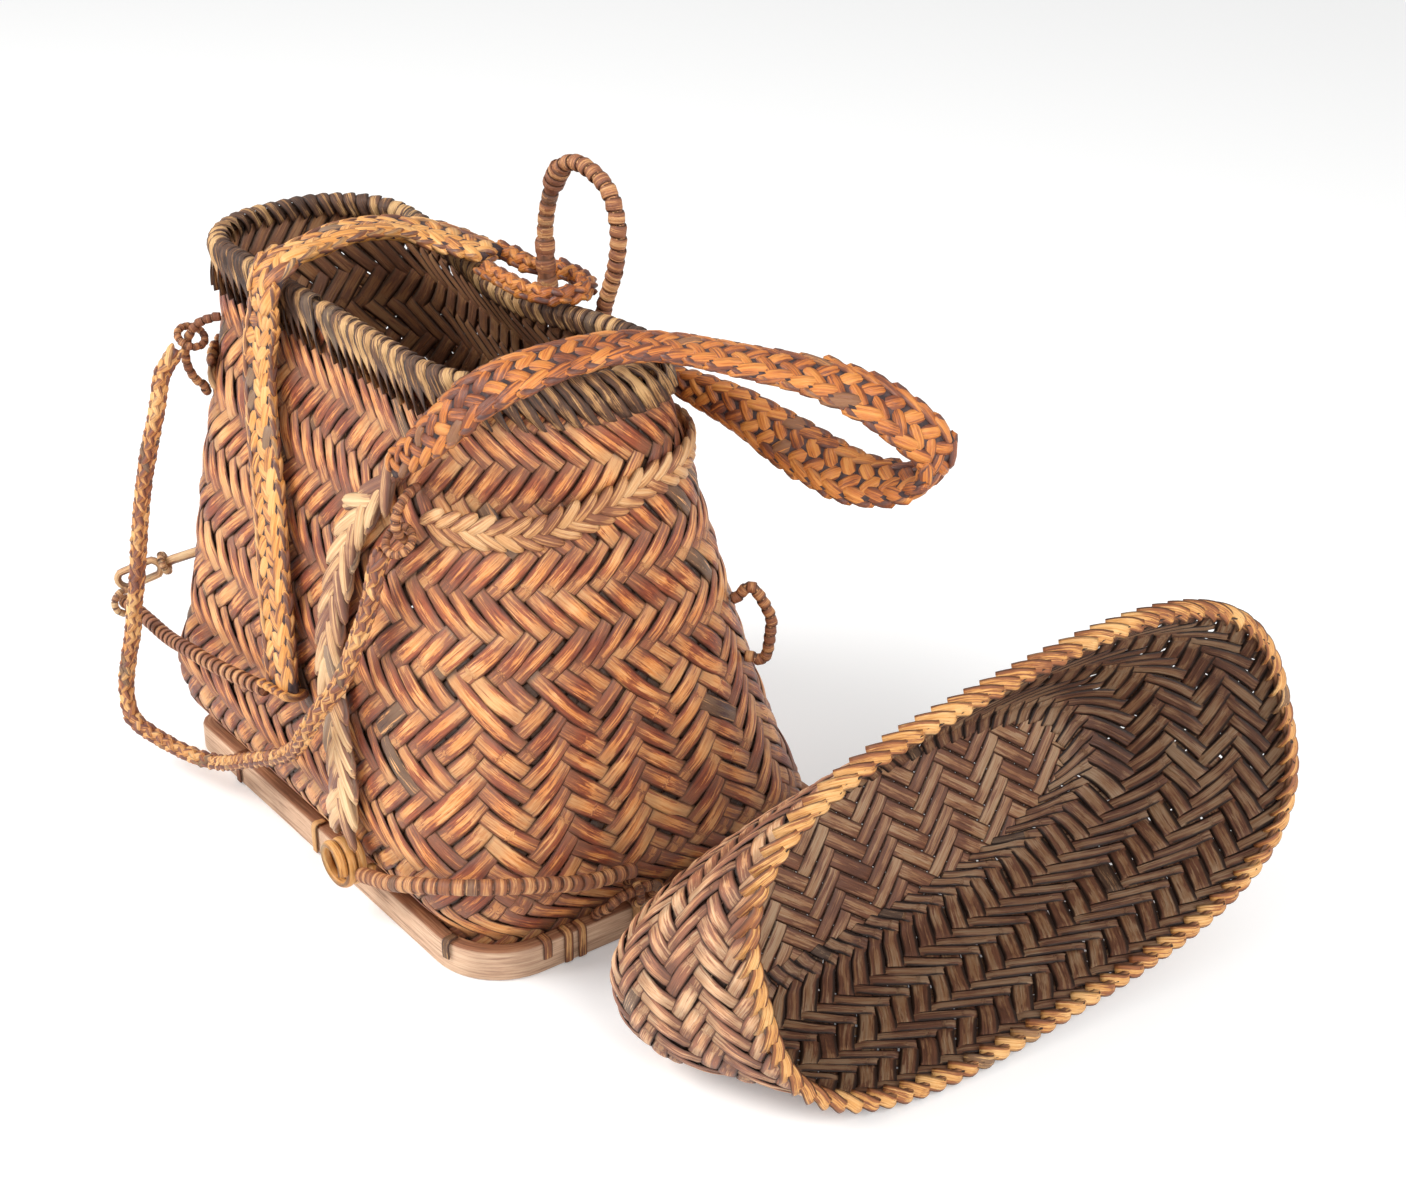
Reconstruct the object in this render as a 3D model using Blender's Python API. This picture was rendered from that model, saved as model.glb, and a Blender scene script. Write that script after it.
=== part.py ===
"""A plaited rattan pack basket on a bent wood base, with two shoulder straps and its lid lying beside it.

Metres, +Z up. Inside this script the basket stands over the centre of its base frame, with its long
side along X and its near long side at -Y. At the end everything moves so that the origin is the
middle of the underside of the whole group, free cords left out.
"""
import bpy
import bmesh
import numpy as np
from math import cos, exp, hypot, pi, radians, sin
from mathutils import Matrix, Vector

for stale in list(bpy.data.objects):
    bpy.data.objects.remove(stale, do_unlink=True)

# Fits that many pieces share
GAP = 0.0003
SEAT = 0.0006

# Base frame: a bent wood band set on edge
BASE_LENGTH = 0.300
BASE_WIDTH = 0.234
BASE_HEIGHT = 0.017
BASE_THICKNESS = 0.008
BASE_EASE = 0.0012
BASE_NEAR_RIGHT_CORNER = 0.038
BASE_FAR_CORNER = 0.028
BASE_NEAR_LEFT_CORNER = 0.012

# Plaited body
BASKET_HEIGHT = 0.303
WALL = 0.0035
BODY_LIFT = 0.004
MOUTH_DENT = 0.011
MOUTH_DIP = 0.007
DENT_REACH = 0.065
DENT_PLACE = 0.010
SIDES_AROUND = 64

# Rolled border of the mouth and the plaited band round the neck
BORDER_DEPTH = 0.025
BORDER_THICKNESS = 0.0022
BORDER_TUCK = 0.009
NECK_BAND_HEIGHT = 0.017
NECK_BAND_THICKNESS = 0.0055

# Straps, braid and cords
STRAP_WIDTH = 0.033
STRAP_THICKNESS = 0.0085
BRAID_WIDTH = 0.0145
BRAID_THICKNESS = 0.0075
ROPE_DIAMETER = 0.0078
CORD_DIAMETER = 0.0085
TAIL_DIAMETER = 0.0055
LOOP_DIAMETER = 0.0085
EYE_LEG_DIAMETER = 0.0088
EYE_DIAMETER = 0.0050
LOW_LOOP_DIAMETER = 0.0077
SMALL_LOOP_DIAMETER = 0.0062
ANCHOR_DIAMETER = 0.0056

# Wound ring at the foot of the braid
COIL_TURNS = 3
COIL_RADIUS = 0.0112
COIL_STRAND = 0.0047
COIL_PITCH = 0.0054

# Two small rings on the left strap's cord
KNOT_RADIUS = 0.0072
KNOT_STRAND = 0.0042
LINK_LENGTH = 0.030
LINK_WIDTH = 0.014

# Lashings that tie the body to the base frame
LASHING_WIDTH = 0.0052
LASHING_THICKNESS = 0.0016
LASHING_SHORT_DROP = 0.009
LASHING_FOOT_LIFT = 0.0008
LASHING_REACH = 0.0058

# Lid
LID_LENGTH = 0.322
LID_WIDTH = 0.172
LID_DEPTH = 0.100
LID_WALL = 0.0032
LID_BORDER_HEIGHT = 0.009
LID_BORDER_THICKNESS = 0.0022
LID_FACING = radians(-3.4)
LID_TIP = radians(13.5)
LID_ROLL = radians(8.0)
LID_X = 0.319
LID_Y = 0.088

HALF_LENGTH = BASE_LENGTH / 2
HALF_WIDTH = BASE_WIDTH / 2

# Body sections from the bottom up, as shares of the basket's height, half length and half width:
# height, half length, half width, four corner radii (near right, far right, far left, near left),
# shift along, shift across
SECTION_SHARES = (
    (0.013, 0.927, 0.906, 0.291, 0.222, 0.205, 0.120, -0.007, -0.009),
    ((BASE_HEIGHT + SEAT * 1.5) / BASKET_HEIGHT, 0.940, 0.923, 0.299, 0.239, 0.222, 0.137, -0.007, -0.009),
    (0.116, 1.007, 0.991, 0.376, 0.444, 0.291, 0.120, -0.020, -0.051),
    (0.198, 1.020, 0.991, 0.462, 0.615, 0.359, 0.154, -0.027, -0.094),
    (0.330, 1.007, 0.940, 0.564, 0.667, 0.427, 0.393, -0.027, -0.137),
    (0.462, 1.000, 0.855, 0.650, 0.598, 0.462, 0.470, -0.020, -0.197),
    (0.594, 0.993, 0.752, 0.718, 0.496, 0.462, 0.444, -0.020, -0.231),
    (0.710, 0.987, 0.658, 0.735, 0.444, 0.444, 0.427, -0.020, -0.248),
    (0.809, 0.980, 0.573, 0.718, 0.393, 0.410, 0.393, -0.027, -0.248),
    (0.891, 0.980, 0.504, 0.667, 0.342, 0.376, 0.359, -0.033, -0.274),
    (1.000, 0.987, 0.453, 0.632, 0.291, 0.393, 0.376, -0.033, -0.325),
)
SECTION_TABLE = np.array(SECTION_SHARES)
CORNER_STEPS = 24


def material(name, colour, roughness):
    """One Principled material in a plain linear colour."""
    made = bpy.data.materials.new(name)
    made.use_nodes = True
    shader = made.node_tree.nodes["Principled BSDF"]
    shader.inputs["Base Color"].default_value = (*colour, 1.0)
    shader.inputs["Roughness"].default_value = roughness
    shader.inputs["Metallic"].default_value = 0.0
    return made


RATTAN = (0.33, 0.14, 0.065)
RATTAN_GOLD = (0.50, 0.22, 0.07)
RATTAN_PALE = (0.52, 0.36, 0.18)
WOOD = (0.47, 0.33, 0.21)
basket_root = bpy.data.objects.new("basket_root", None)
bpy.context.scene.collection.objects.link(basket_root)
lid_root = bpy.data.objects.new("lid_root", None)
bpy.context.scene.collection.objects.link(lid_root)


def finish(made, colour, roughness, parent=basket_root):
    """Give an object its own material and its parent."""
    made.data.materials.clear()
    made.data.materials.append(material(made.name, colour, roughness))
    made.parent = parent
    made.matrix_parent_inverse = Matrix.Translation(-parent.location)
    return made


def lofted(name, rings, closed, colour, roughness, parent=basket_root):
    """Closed solid through rings of points: a closed run of rings, or an open one with both ends capped."""
    mesh = bpy.data.meshes.new(name)
    build = bmesh.new()
    rows = [[build.verts.new(point) for point in ring] for ring in rings]
    count = len(rows[0])
    pairs = list(zip(rows, rows[1:]))
    if closed:
        pairs.append((rows[-1], rows[0]))
    for low, high in pairs:
        for i in range(count):
            j = (i + 1) % count
            build.faces.new((low[i], low[j], high[j], high[i]))
    if not closed:
        build.faces.new(rows[0])
        build.faces.new(rows[-1])
    bmesh.ops.recalc_face_normals(build, faces=build.faces)
    build.to_mesh(mesh)
    build.free()
    made = bpy.data.objects.new(name, mesh)
    bpy.context.scene.collection.objects.link(made)
    mesh.shade_smooth()
    mesh.set_sharp_from_angle(angle=radians(40))
    return finish(made, colour, roughness, parent)


def tube(name, points, diameter, colour, roughness=0.6, cyclic=False, sides=3, parent=basket_root):
    """Round tube along points, with filled ends."""
    curve = bpy.data.curves.new(name, "CURVE")
    curve.dimensions = "3D"
    curve.bevel_depth = diameter / 2
    curve.bevel_resolution = sides
    curve.use_fill_caps = not cyclic
    spline = curve.splines.new("POLY")
    spline.points.add(len(points) - 1)
    for node, point in zip(spline.points, points):
        node.co = (*point, 1.0)
    spline.use_cyclic_u = cyclic
    made = bpy.data.objects.new(name, curve)
    bpy.context.scene.collection.objects.link(made)
    return finish(made, colour, roughness, parent)


def smooth_path(points, step, cyclic=False):
    """Points at even steps along a smooth curve through the given ones."""
    given = np.array([tuple(point) for point in points])
    if cyclic:
        given = np.vstack([given[-1:], given, given[:2]])
    else:
        given = np.vstack([2 * given[0] - given[1], given, 2 * given[-1] - given[-2]])
    dense = []
    for a, b, c, d in zip(given, given[1:], given[2:], given[3:]):
        for t in np.linspace(0, 1, 16, endpoint=False):
            dense.append(0.5 * ((2 * b) + (c - a) * t + (2 * a - 5 * b + 4 * c - d) * t ** 2
                                + (3 * b - a - 3 * c + d) * t ** 3))
    dense.append(given[-2])
    dense = np.array(dense)
    run = np.concatenate([[0], np.cumsum(np.linalg.norm(np.diff(dense, axis=0), axis=1))])
    count = max(int(round(run[-1] / step)), 3)
    marks = np.linspace(0, run[-1], count, endpoint=False) if cyclic else np.linspace(0, run[-1], count + 1)
    return [Vector((np.interp(m, run, dense[:, 0]), np.interp(m, run, dense[:, 1]), np.interp(m, run, dense[:, 2])))
            for m in marks]


def rounded_outline(half_x, half_y, corners):
    """Counter-clockwise outline from the middle of the near side, corners in the order of the section table."""
    places = ((1, -1, -90), (1, 1, 0), (-1, 1, 90), (-1, -1, 180))
    points = [(0, -half_y)]
    for (side_x, side_y, start), radius in zip(places, corners):
        for step in range(CORNER_STEPS + 1):
            turn = radians(start + 90 * step / CORNER_STEPS)
            points.append((side_x * (half_x - radius) + radius * cos(turn),
                           side_y * (half_y - radius) + radius * sin(turn)))
    points.append((0, -half_y))
    return np.array(points)


def along_outline(points, share):
    """The point at a share of an outline's length, and its outward direction."""
    run = np.concatenate([[0], np.cumsum(np.hypot(*np.diff(points, axis=0).T))])
    place = (share % 1.0) * run[-1]
    near = run[-1] / 400
    at = [np.array([np.interp(place + shift, run, points[:, i]) for i in (0, 1)]) for shift in (-near, 0, near)]
    along = at[2] - at[0]
    return at[1], np.array([along[1], -along[0]]) / hypot(*along)


def skin(around, height, off=0.0):
    """Point of the body's outer face: share around it from the near side's middle, height, distance outwards."""
    share = min(max(height / BASKET_HEIGHT, SECTION_TABLE[0, 0]), 1.0)
    row = [np.interp(share, SECTION_TABLE[:, 0], SECTION_TABLE[:, i]) for i in range(1, 9)]
    half_x = row[0] * HALF_LENGTH
    half_y = row[1] * HALF_WIDTH
    corners = [value * HALF_WIDTH for value in row[2:6]]
    corners[0] = min(corners[0], 2 * half_y - corners[1] - WALL)
    flat, outward = along_outline(rounded_outline(half_x, half_y, corners), around)
    far = min(max(flat[1] / half_y, 0), 1)
    press = far * exp(-((flat[0] - DENT_PLACE) / DENT_REACH) ** 2) * share ** 5
    x = flat[0] + row[6] * HALF_LENGTH + off * outward[0]
    y = flat[1] + row[7] * HALF_WIDTH - MOUTH_DENT * press + off * outward[1]
    return Vector((x, y, height - MOUTH_DIP * press))


def level(share):
    return share * BASKET_HEIGHT


def around_shares():
    return [i / SIDES_AROUND for i in range(SIDES_AROUND)]


def base_point(around, inward, z):
    """Point on the base frame's outline, moved in from its outer face."""
    corners = (BASE_NEAR_RIGHT_CORNER, BASE_FAR_CORNER, BASE_FAR_CORNER, BASE_NEAR_LEFT_CORNER)
    flat, outward = along_outline(rounded_outline(HALF_LENGTH, HALF_WIDTH, corners), around)
    return Vector((flat[0] - inward * outward[0], flat[1] - inward * outward[1], z))


def make_base_frame():
    """Bent wood band: a ring on edge, its edges eased."""
    profile = ((0, 0), (0, BASE_HEIGHT - BASE_EASE), (BASE_EASE, BASE_HEIGHT),
               (BASE_THICKNESS - BASE_EASE, BASE_HEIGHT), (BASE_THICKNESS, BASE_HEIGHT - BASE_EASE),
               (BASE_THICKNESS, 0))
    corners = (BASE_NEAR_RIGHT_CORNER, BASE_FAR_CORNER, BASE_FAR_CORNER, BASE_NEAR_LEFT_CORNER)
    rings = []
    places = ((1, -1, -90), (1, 1, 0), (-1, 1, 90), (-1, -1, 180))
    steps = 7
    for (side_x, side_y, start), radius in zip(places, corners):
        for step in range(steps + 1):
            turn = radians(start + 90 * step / steps)
            centre = Vector((side_x * (HALF_LENGTH - radius), side_y * (HALF_WIDTH - radius), 0))
            out = Vector((cos(turn), sin(turn), 0))
            rings.append([centre + out * (radius - inward) + Vector((0, 0, z)) for inward, z in profile])
    return lofted("base_frame", rings, True, WOOD, 0.7)


def make_body():
    """Plaited body: outer face up to the mouth, inner face down to the bottom."""
    levels = [level(share) for share in SECTION_TABLE[1:, 0]]
    outer = [BODY_LIFT] + sorted(levels + [BASKET_HEIGHT - BORDER_DEPTH])
    inner = sorted(levels + [BASKET_HEIGHT - BORDER_TUCK], reverse=True) + [BODY_LIFT + WALL]
    rings = [[skin(u, z) for u in around_shares()] for z in outer]
    rings += [[skin(u, z, -WALL) for u in around_shares()] for z in inner]
    return lofted("basket_body", rings, False, RATTAN, 0.55)


def make_rim_border():
    """Border of strips hooked over the mouth: a thin cap outside, over and inside the wall's edge."""
    near = SEAT * 2
    outside = near + BORDER_THICKNESS
    facing = -WALL - near
    inside = facing - BORDER_THICKNESS
    over = Vector((0, 0, GAP))
    top = Vector((0, 0, GAP + BORDER_THICKNESS))
    rings = []
    for u in around_shares():
        low = BASKET_HEIGHT - BORDER_DEPTH
        tuck = BASKET_HEIGHT - BORDER_TUCK
        rings.append([
            skin(u, low, near),
            skin(u, low, outside),
            skin(u, BASKET_HEIGHT, outside),
            skin(u, BASKET_HEIGHT, near) + top,
            skin(u, BASKET_HEIGHT, facing) + top,
            skin(u, BASKET_HEIGHT, inside),
            skin(u, tuck, inside),
            skin(u, tuck, facing),
            skin(u, BASKET_HEIGHT, facing) + over,
            skin(u, BASKET_HEIGHT, near) + over,
        ])
    return lofted("rim_border", rings, True, RATTAN_GOLD, 0.6)


# Height of the neck band's middle at places around the body, as shares of the basket's height
NECK_BAND_SHARES = ((0.120, 0.757), (0.19, 0.757), (0.226, 0.785), (0.26, 0.812), (0.31, 0.822),
                    (0.50, 0.805), (0.66, 0.80), (0.75, 0.785), (0.858, 0.772))


def neck_band_level(around):
    table = np.array(NECK_BAND_SHARES)
    return level(np.interp(around, table[:, 0], table[:, 1]))


def make_neck_band():
    """Plaited band round the neck, open along the near side."""
    first = NECK_BAND_SHARES[0][0]
    last = NECK_BAND_SHARES[-1][0]
    half = NECK_BAND_HEIGHT / 2
    rings = []
    for u in around_shares():
        if not first <= u <= last:
            continue
        mid = neck_band_level(u)
        rings.append([skin(u, mid - half, SEAT), skin(u, mid - half * 0.7, NECK_BAND_THICKNESS),
                      skin(u, mid + half * 0.7, NECK_BAND_THICKNESS), skin(u, mid + half, SEAT),
                      skin(u, mid, SEAT)])
    return lofted("neck_band", rings, False, RATTAN, 0.55)


# Lashings: share around the base frame and whether the strip runs down to the frame's lower edge
LASHING_SHARES = ((0.905, True), (0.990, True), (0.118, False), (0.170, False), (0.182, True), (0.190, True),
                  (0.222, False), (0.268, True), (0.277, True), (0.300, False), (0.470, True), (0.560, True),
                  (0.735, True), (0.790, True))


def make_lashing(index, around, whole):
    """Rattan strip hooked over the base frame's top and down its outer face."""
    per_metre = 1 / (2 * (BASE_LENGTH + BASE_WIDTH))
    half = LASHING_WIDTH / 2 * per_metre
    foot = LASHING_FOOT_LIFT if whole else BASE_HEIGHT - LASHING_SHORT_DROP
    out = -GAP - LASHING_THICKNESS
    profile = ((-GAP, foot), (out, foot), (out, BASE_HEIGHT), (out / 2, BASE_HEIGHT - out * 0.9),
               (LASHING_REACH, BASE_HEIGHT - out), (LASHING_REACH, BASE_HEIGHT + GAP), (-GAP, BASE_HEIGHT + GAP))
    rings = [[base_point(around + side * half, inward, z) for inward, z in profile] for side in (-1, 0, 1)]
    return lofted(f"base_lashing_{index:02d}", rings, False, RATTAN, 0.6)


def strap_path(stations, step):
    """Evenly spaced centres, faces and width shares through stations of (point, facing, width share)."""
    centres = smooth_path([point for point, facing, share in stations], step)
    given = [0]
    for (a, fa, wa), (b, fb, wb) in zip(stations, stations[1:]):
        given.append(given[-1] + (b - a).length)
    run = [0]
    for a, b in zip(centres, centres[1:]):
        run.append(run[-1] + (b - a).length)
    scale = given[-1] / run[-1]
    path = []
    for i, centre in enumerate(centres):
        place = run[i] * scale
        facing = Vector([np.interp(place, given, [f[k] for p, f, w in stations]) for k in range(3)])
        share = np.interp(place, given, [w for p, f, w in stations])
        path.append((centre, facing, share))
    return path


def make_band(name, stations, width, thickness, colour, parent):
    """Flat strap or braid: a rounded flat section swept along its stations, each facing its own way."""
    path = strap_path(stations, width / 3)
    corner = thickness / 2
    rings = []
    for i, (centre, facing, share) in enumerate(path):
        ahead = path[min(i + 1, len(path) - 1)][0] - path[max(i - 1, 0)][0]
        ahead.normalize()
        across = facing.cross(ahead).normalized()
        up = ahead.cross(across).normalized()
        half = max(width * share / 2 - corner, 0)
        ring = []
        for side in (1, -1):
            for turn in (-60, 0, 60):
                swing = radians(turn)
                ring.append(centre + across * side * (half + corner * cos(swing)) + up * side * corner * sin(swing))
        rings.append(ring)
    return lofted(name, rings, False, colour, 0.5, parent)


def at_shares(x_share, y_share, z_share):
    """Point given as shares of the half length, the half width and the height."""
    return Vector((x_share * HALF_LENGTH, y_share * HALF_WIDTH, z_share * BASKET_HEIGHT))


# The loop that the left strap hangs on, from above its left foot over to above its right one
TALL_LOOP_SHARES = ((0.193, 0.120, 0.996), (0.175, 0.128, 1.086), (0.203, 0.141, 1.155), (0.261, 0.154, 1.203),
                    (0.355, 0.171, 1.214), (0.473, 0.188, 1.188), (0.510, 0.201, 1.127), (0.479, 0.209, 1.056),
                    (0.397, 0.218, 0.968))


def far_share(x, height):
    """Share around the body at which its far side passes a given x at a height."""
    table = sorted((skin(u, height).x, u) for u in np.linspace(0.36, 0.64, 57))
    return float(np.interp(x, [row[0] for row in table], [row[1] for row in table]))


def leg_down(x_share):
    """A loop's leg from beside the border down to its foot, close against the far side."""
    radius = LOOP_DIAMETER / 2
    points = []
    for share, lift in ((0.950, BORDER_THICKNESS + SEAT * 3), (0.915, BORDER_THICKNESS + SEAT * 3), (0.870, SEAT * 2)):
        height = level(share)
        u = far_share(x_share * HALF_LENGTH, height)
        points.append(skin(u, height, radius + lift))
    return points


def make_tall_loop():
    left = leg_down(TALL_LOOP_SHARES[0][0])
    right = leg_down(TALL_LOOP_SHARES[-1][0])
    points = left[::-1] + [at_shares(*shares) for shares in TALL_LOOP_SHARES] + right[1:]
    return tube("tall_strap_loop", smooth_path(points, LOOP_DIAMETER), LOOP_DIAMETER, RATTAN)


# Axis of the right strap's swing: through its eye on the far side and its join on the near side
RIGHT_EYE_CENTRE = at_shares(0.470, 0.385, 0.872)
RIGHT_JOIN = at_shares(0.515, -0.900, 0.842)
LOW_LOOP_REACH = 0.020
LOW_LOOP_WIDTH = 0.022
STRAP_EYE_RADIUS = (LOW_LOOP_DIAMETER + EYE_DIAMETER) / 2 + SEAT


def wall_stub(around, height, radius):
    """Two points that bring a tube square onto the body's wall, ending just short of it."""
    lean = skin(around, height + radius) - skin(around, height - radius)
    outward = skin(around, height, radius) - skin(around, height)
    dip = abs(lean.normalized().dot(outward.normalized())) * radius
    return [skin(around, height, SEAT + dip), skin(around, height, SEAT + dip + radius)]


def make_low_loop():
    """Loop of the right strap, turned down: it lies level, and one of its legs runs through the strap's eye."""
    out = RIGHT_EYE_CENTRE + Vector((0, LOW_LOOP_REACH / 2, 0))
    height = RIGHT_EYE_CENTRE.z
    radius = LOW_LOOP_DIAMETER / 2
    side = Vector((-LOW_LOOP_WIDTH, 0, 0))
    turn = Vector((-LOW_LOOP_WIDTH / 2, LOW_LOOP_REACH / 3, 0))
    right = wall_stub(far_share(RIGHT_EYE_CENTRE.x, height), height, radius)
    left = wall_stub(far_share(RIGHT_EYE_CENTRE.x - LOW_LOOP_WIDTH, height), height, radius)
    points = right + [RIGHT_EYE_CENTRE, out, out + turn, out + side] + left[::-1]
    return tube("low_strap_loop", smooth_path(points, radius), radius * 2, RATTAN)


# Left strap: from its eye on the tall loop over the mouth and down the near side.
# Over the mouth each row gives a point in shares, the way the broad face looks and a width share.
STRAP_LEFT_OVER_SHARES = (
    ((-0.048, 0.036, 1.020), (0.0, 0.1, 1.0), 0.34),
    ((-0.075, 0.028, 1.020), (0.0, 0.1, 1.0), 0.62),
    ((-0.115, 0.014, 1.021), (0.0, 0.1, 1.0), 0.80),
    ((-0.165, -0.006, 1.023), (0.0, 0.1, 1.0), 0.92),
    ((-0.262, -0.054, 1.028), (0.0, 0.05, 1.0), 1.0),
    ((-0.344, -0.144, 1.036), (0.0, 0.0, 1.0), 1.0),
    ((-0.360, -0.288, 1.048), (-0.05, -0.1, 1.0), 1.0),
    ((-0.350, -0.465, 1.054), (-0.1, -0.2, 1.0), 1.0),
    ((-0.342, -0.631, 1.045), (-0.1, -0.35, 0.93), 1.0),
    ((-0.310, -0.785, 1.040), (-0.05, -0.6, 0.8), 1.0),
    ((-0.308, -0.868, 1.008), (-0.05, -0.9, 0.45), 1.0),
)
# Down the near side each row gives a share around the body and a height share.
STRAP_LEFT_SIDE_SHARES = ((0.936, 0.950), (0.926, 0.890), (0.928, 0.820), (0.950, 0.730), (0.971, 0.637),
                          (0.988, 0.525), (0.999, 0.413), (1.002, 0.362))
STRAP_STAND_OFF = 0.0030
NEAR = (0, -1, 0.15)


def strap_on_side(around, share, thickness, stand_off):
    """Centre of a strap lying against the body, clear of the border where it crosses it."""
    height = level(share)
    lift = stand_off + BORDER_THICKNESS if height > BASKET_HEIGHT - BORDER_DEPTH - thickness else stand_off
    over = Vector((0, 0, max(height - BASKET_HEIGHT, 0)))
    return skin(around, min(height, BASKET_HEIGHT), thickness / 2 + lift) + over


def make_strap_left():
    rows = [(at_shares(*p), f, w) for p, f, w in STRAP_LEFT_OVER_SHARES]
    rows += [(strap_on_side(u, s, STRAP_THICKNESS, STRAP_STAND_OFF), NEAR, 1.0) for u, s in STRAP_LEFT_SIDE_SHARES]
    return make_band("strap_left", rows, STRAP_WIDTH, STRAP_THICKNESS, RATTAN_GOLD, swing_left)


# Eye of the left strap: its plait parts in two legs that close round the tall loop
LEFT_EYE_SHARES = ((-0.050, 0.128, 1.013), (0.061, 0.147, 1.009), (0.144, 0.229, 1.005), (0.240, 0.238, 1.005),
                   (0.331, 0.195, 1.007), (0.380, 0.106, 1.012), (0.358, 0.000, 1.013), (0.262, -0.045, 1.011),
                   (0.150, -0.056, 1.013), (0.024, -0.060, 1.015))


def make_strap_left_eye():
    points = [at_shares(*shares) for shares in LEFT_EYE_SHARES]
    return tube("strap_left_eye", smooth_path(points, EYE_LEG_DIAMETER * 0.8), EYE_LEG_DIAMETER, RATTAN_GOLD)


# Right strap: from its join on the near side over the mouth's right end, out to its tip and back to the eye
STRAP_RIGHT_SHARES = (
    ((0.515, -0.900, 0.842), (0.10, -0.97, 0.2), 0.48),
    ((0.627, -0.890, 0.884), (0.20, -0.90, 0.35), 0.62),
    ((0.745, -0.850, 0.938), (0.28, -0.80, 0.5), 0.82),
    ((0.840, -0.755, 0.996), (0.32, -0.60, 0.7), 0.95),
    ((0.920, -0.590, 1.034), (0.25, -0.38, 0.88), 1.0),
    ((0.960, -0.310, 1.047), (0.12, -0.20, 0.97), 0.95),
    ((1.040, -0.130, 1.050), (0.06, -0.08, 1.0), 0.90),
    ((1.160, -0.015, 1.050), (0.06, -0.06, 1.0), 0.88),
    ((1.313, 0.120, 1.043), (0.12, -0.08, 0.98), 0.90),
    ((1.437, 0.287, 1.026), (0.33, -0.10, 0.93), 0.94),
    ((1.550, 0.415, 1.000), (0.60, -0.12, 0.79), 1.0),
    ((1.630, 0.560, 0.950), (0.90, -0.10, 0.40), 0.95),
    ((1.640, 0.665, 0.898), (0.97, 0.05, -0.2), 0.90),
    ((1.597, 0.660, 0.850), (0.60, 0.35, -0.72), 0.92),
    ((1.467, 0.615, 0.827), (0.25, 0.60, -0.76), 1.0),
    ((1.337, 0.555, 0.822), (0.10, 0.72, -0.68), 1.0),
    ((1.053, 0.500, 0.842), (0.02, 0.90, -0.42), 1.0),
    ((0.893, 0.455, 0.862), (0.0, 1.0, -0.2), 0.9),
    ((0.713, 0.415, 0.870), (0.0, 1.0, -0.05), 0.72),
)


def make_strap_right():
    rows = [(at_shares(*p), f, w) for p, f, w in STRAP_RIGHT_SHARES]
    end = RIGHT_EYE_CENTRE + Vector((STRAP_EYE_RADIUS + EYE_DIAMETER / 2 + SEAT, 0, 0))
    rows.append((end, (0, 1.0, 0), 0.45))
    return make_band("strap_right", rows, STRAP_WIDTH, STRAP_THICKNESS, RATTAN_GOLD, swing_right)


def make_strap_right_eye():
    """Eye of the right strap: a ring round the low loop's leg."""
    count = 16
    points = [RIGHT_EYE_CENTRE + Vector((cos(2 * pi * i / count), 0, sin(2 * pi * i / count))) * STRAP_EYE_RADIUS
              for i in range(count)]
    return tube("strap_right_eye", points, EYE_DIAMETER, RATTAN_GOLD, cyclic=True, parent=swing_right)


# Flat braid from the right strap's join down to the wound ring: share around the body, height share
BRAID_SHARES = ((0.092, 0.820), (0.084, 0.775), (0.068, 0.729), (0.058, 0.663), (0.054, 0.601), (0.051, 0.538),
                (0.052, 0.479), (0.056, 0.413), (0.061, 0.317), (0.061, 0.261), (0.057, 0.208))
BRAID_STAND_OFF = 0.0022


def coil_centre():
    """Middle of the wound ring: on the near side, just above the base frame's upper edge."""
    foot = skin(BRAID_SHARES[-1][0], level(BRAID_SHARES[-1][1]))
    width = COIL_TURNS * COIL_PITCH + COIL_STRAND
    height = BASE_HEIGHT + COIL_RADIUS * 1.35
    wall = skin(BRAID_SHARES[-1][0], height + COIL_RADIUS + COIL_STRAND / 2).y
    return Vector((foot.x - COIL_RADIUS * 0.3, wall + COIL_PITCH * 0.75 - width / 2 - GAP, height))


def make_coil():
    """Wound ring: turns of one rattan strand side by side."""
    centre = coil_centre()
    count = COIL_TURNS * 24
    points = []
    for i in range(count + 1):
        turn = 2 * pi * COIL_TURNS * i / count
        run = COIL_PITCH * COIL_TURNS * (i / count - 0.5)
        points.append(centre + Vector((COIL_RADIUS * cos(turn), run, COIL_RADIUS * sin(turn))))
    near_turn = COIL_PITCH - COIL_STRAND
    print("wound ring: least gap between turns", round(near_turn * 1000, 2), "mm")
    return tube("strap_right_coil", points, COIL_STRAND, RATTAN_PALE, sides=1)


def make_braid():
    rows = [(strap_on_side(u, s, BRAID_THICKNESS, BRAID_STAND_OFF), NEAR, 1.0) for u, s in BRAID_SHARES]
    centre = coil_centre()
    above = COIL_RADIUS + COIL_STRAND / 2 + SEAT * 1.5
    rows.append((centre + Vector((0, 0, above)), NEAR, 0.85))
    return make_band("strap_right_braid", rows, BRAID_WIDTH, BRAID_THICKNESS, RATTAN_PALE, basket_root)


# Wrapped cord of the right strap, from the wound ring round the front corner to its anchor loop
CORD_RIGHT_SHARES = ((0.100, 0.150), (0.122, 0.185), (0.142, 0.198), (0.160, 0.198), (0.178, 0.185),
                     (0.198, 0.160))
CORD_STAND_OFF = 0.0045
ANCHOR_LENGTH = 0.034
ANCHOR_RISE = 0.014
ANCHOR_REACH = 0.0108
ANCHOR_RING_RADIUS = 0.0060
ANCHOR_RING_STRAND = 0.0044
RIGHT_ANCHOR_SHARE = 0.222
LEFT_ANCHOR_SHARE = 0.775


def anchor_middle(around):
    """Middle of an anchor loop's bar, and the level direction along the wall there."""
    height = BASE_HEIGHT + ANCHOR_RISE
    here = skin(around, height, ANCHOR_REACH)
    return here, Vector((0, 1, 0))


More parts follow.
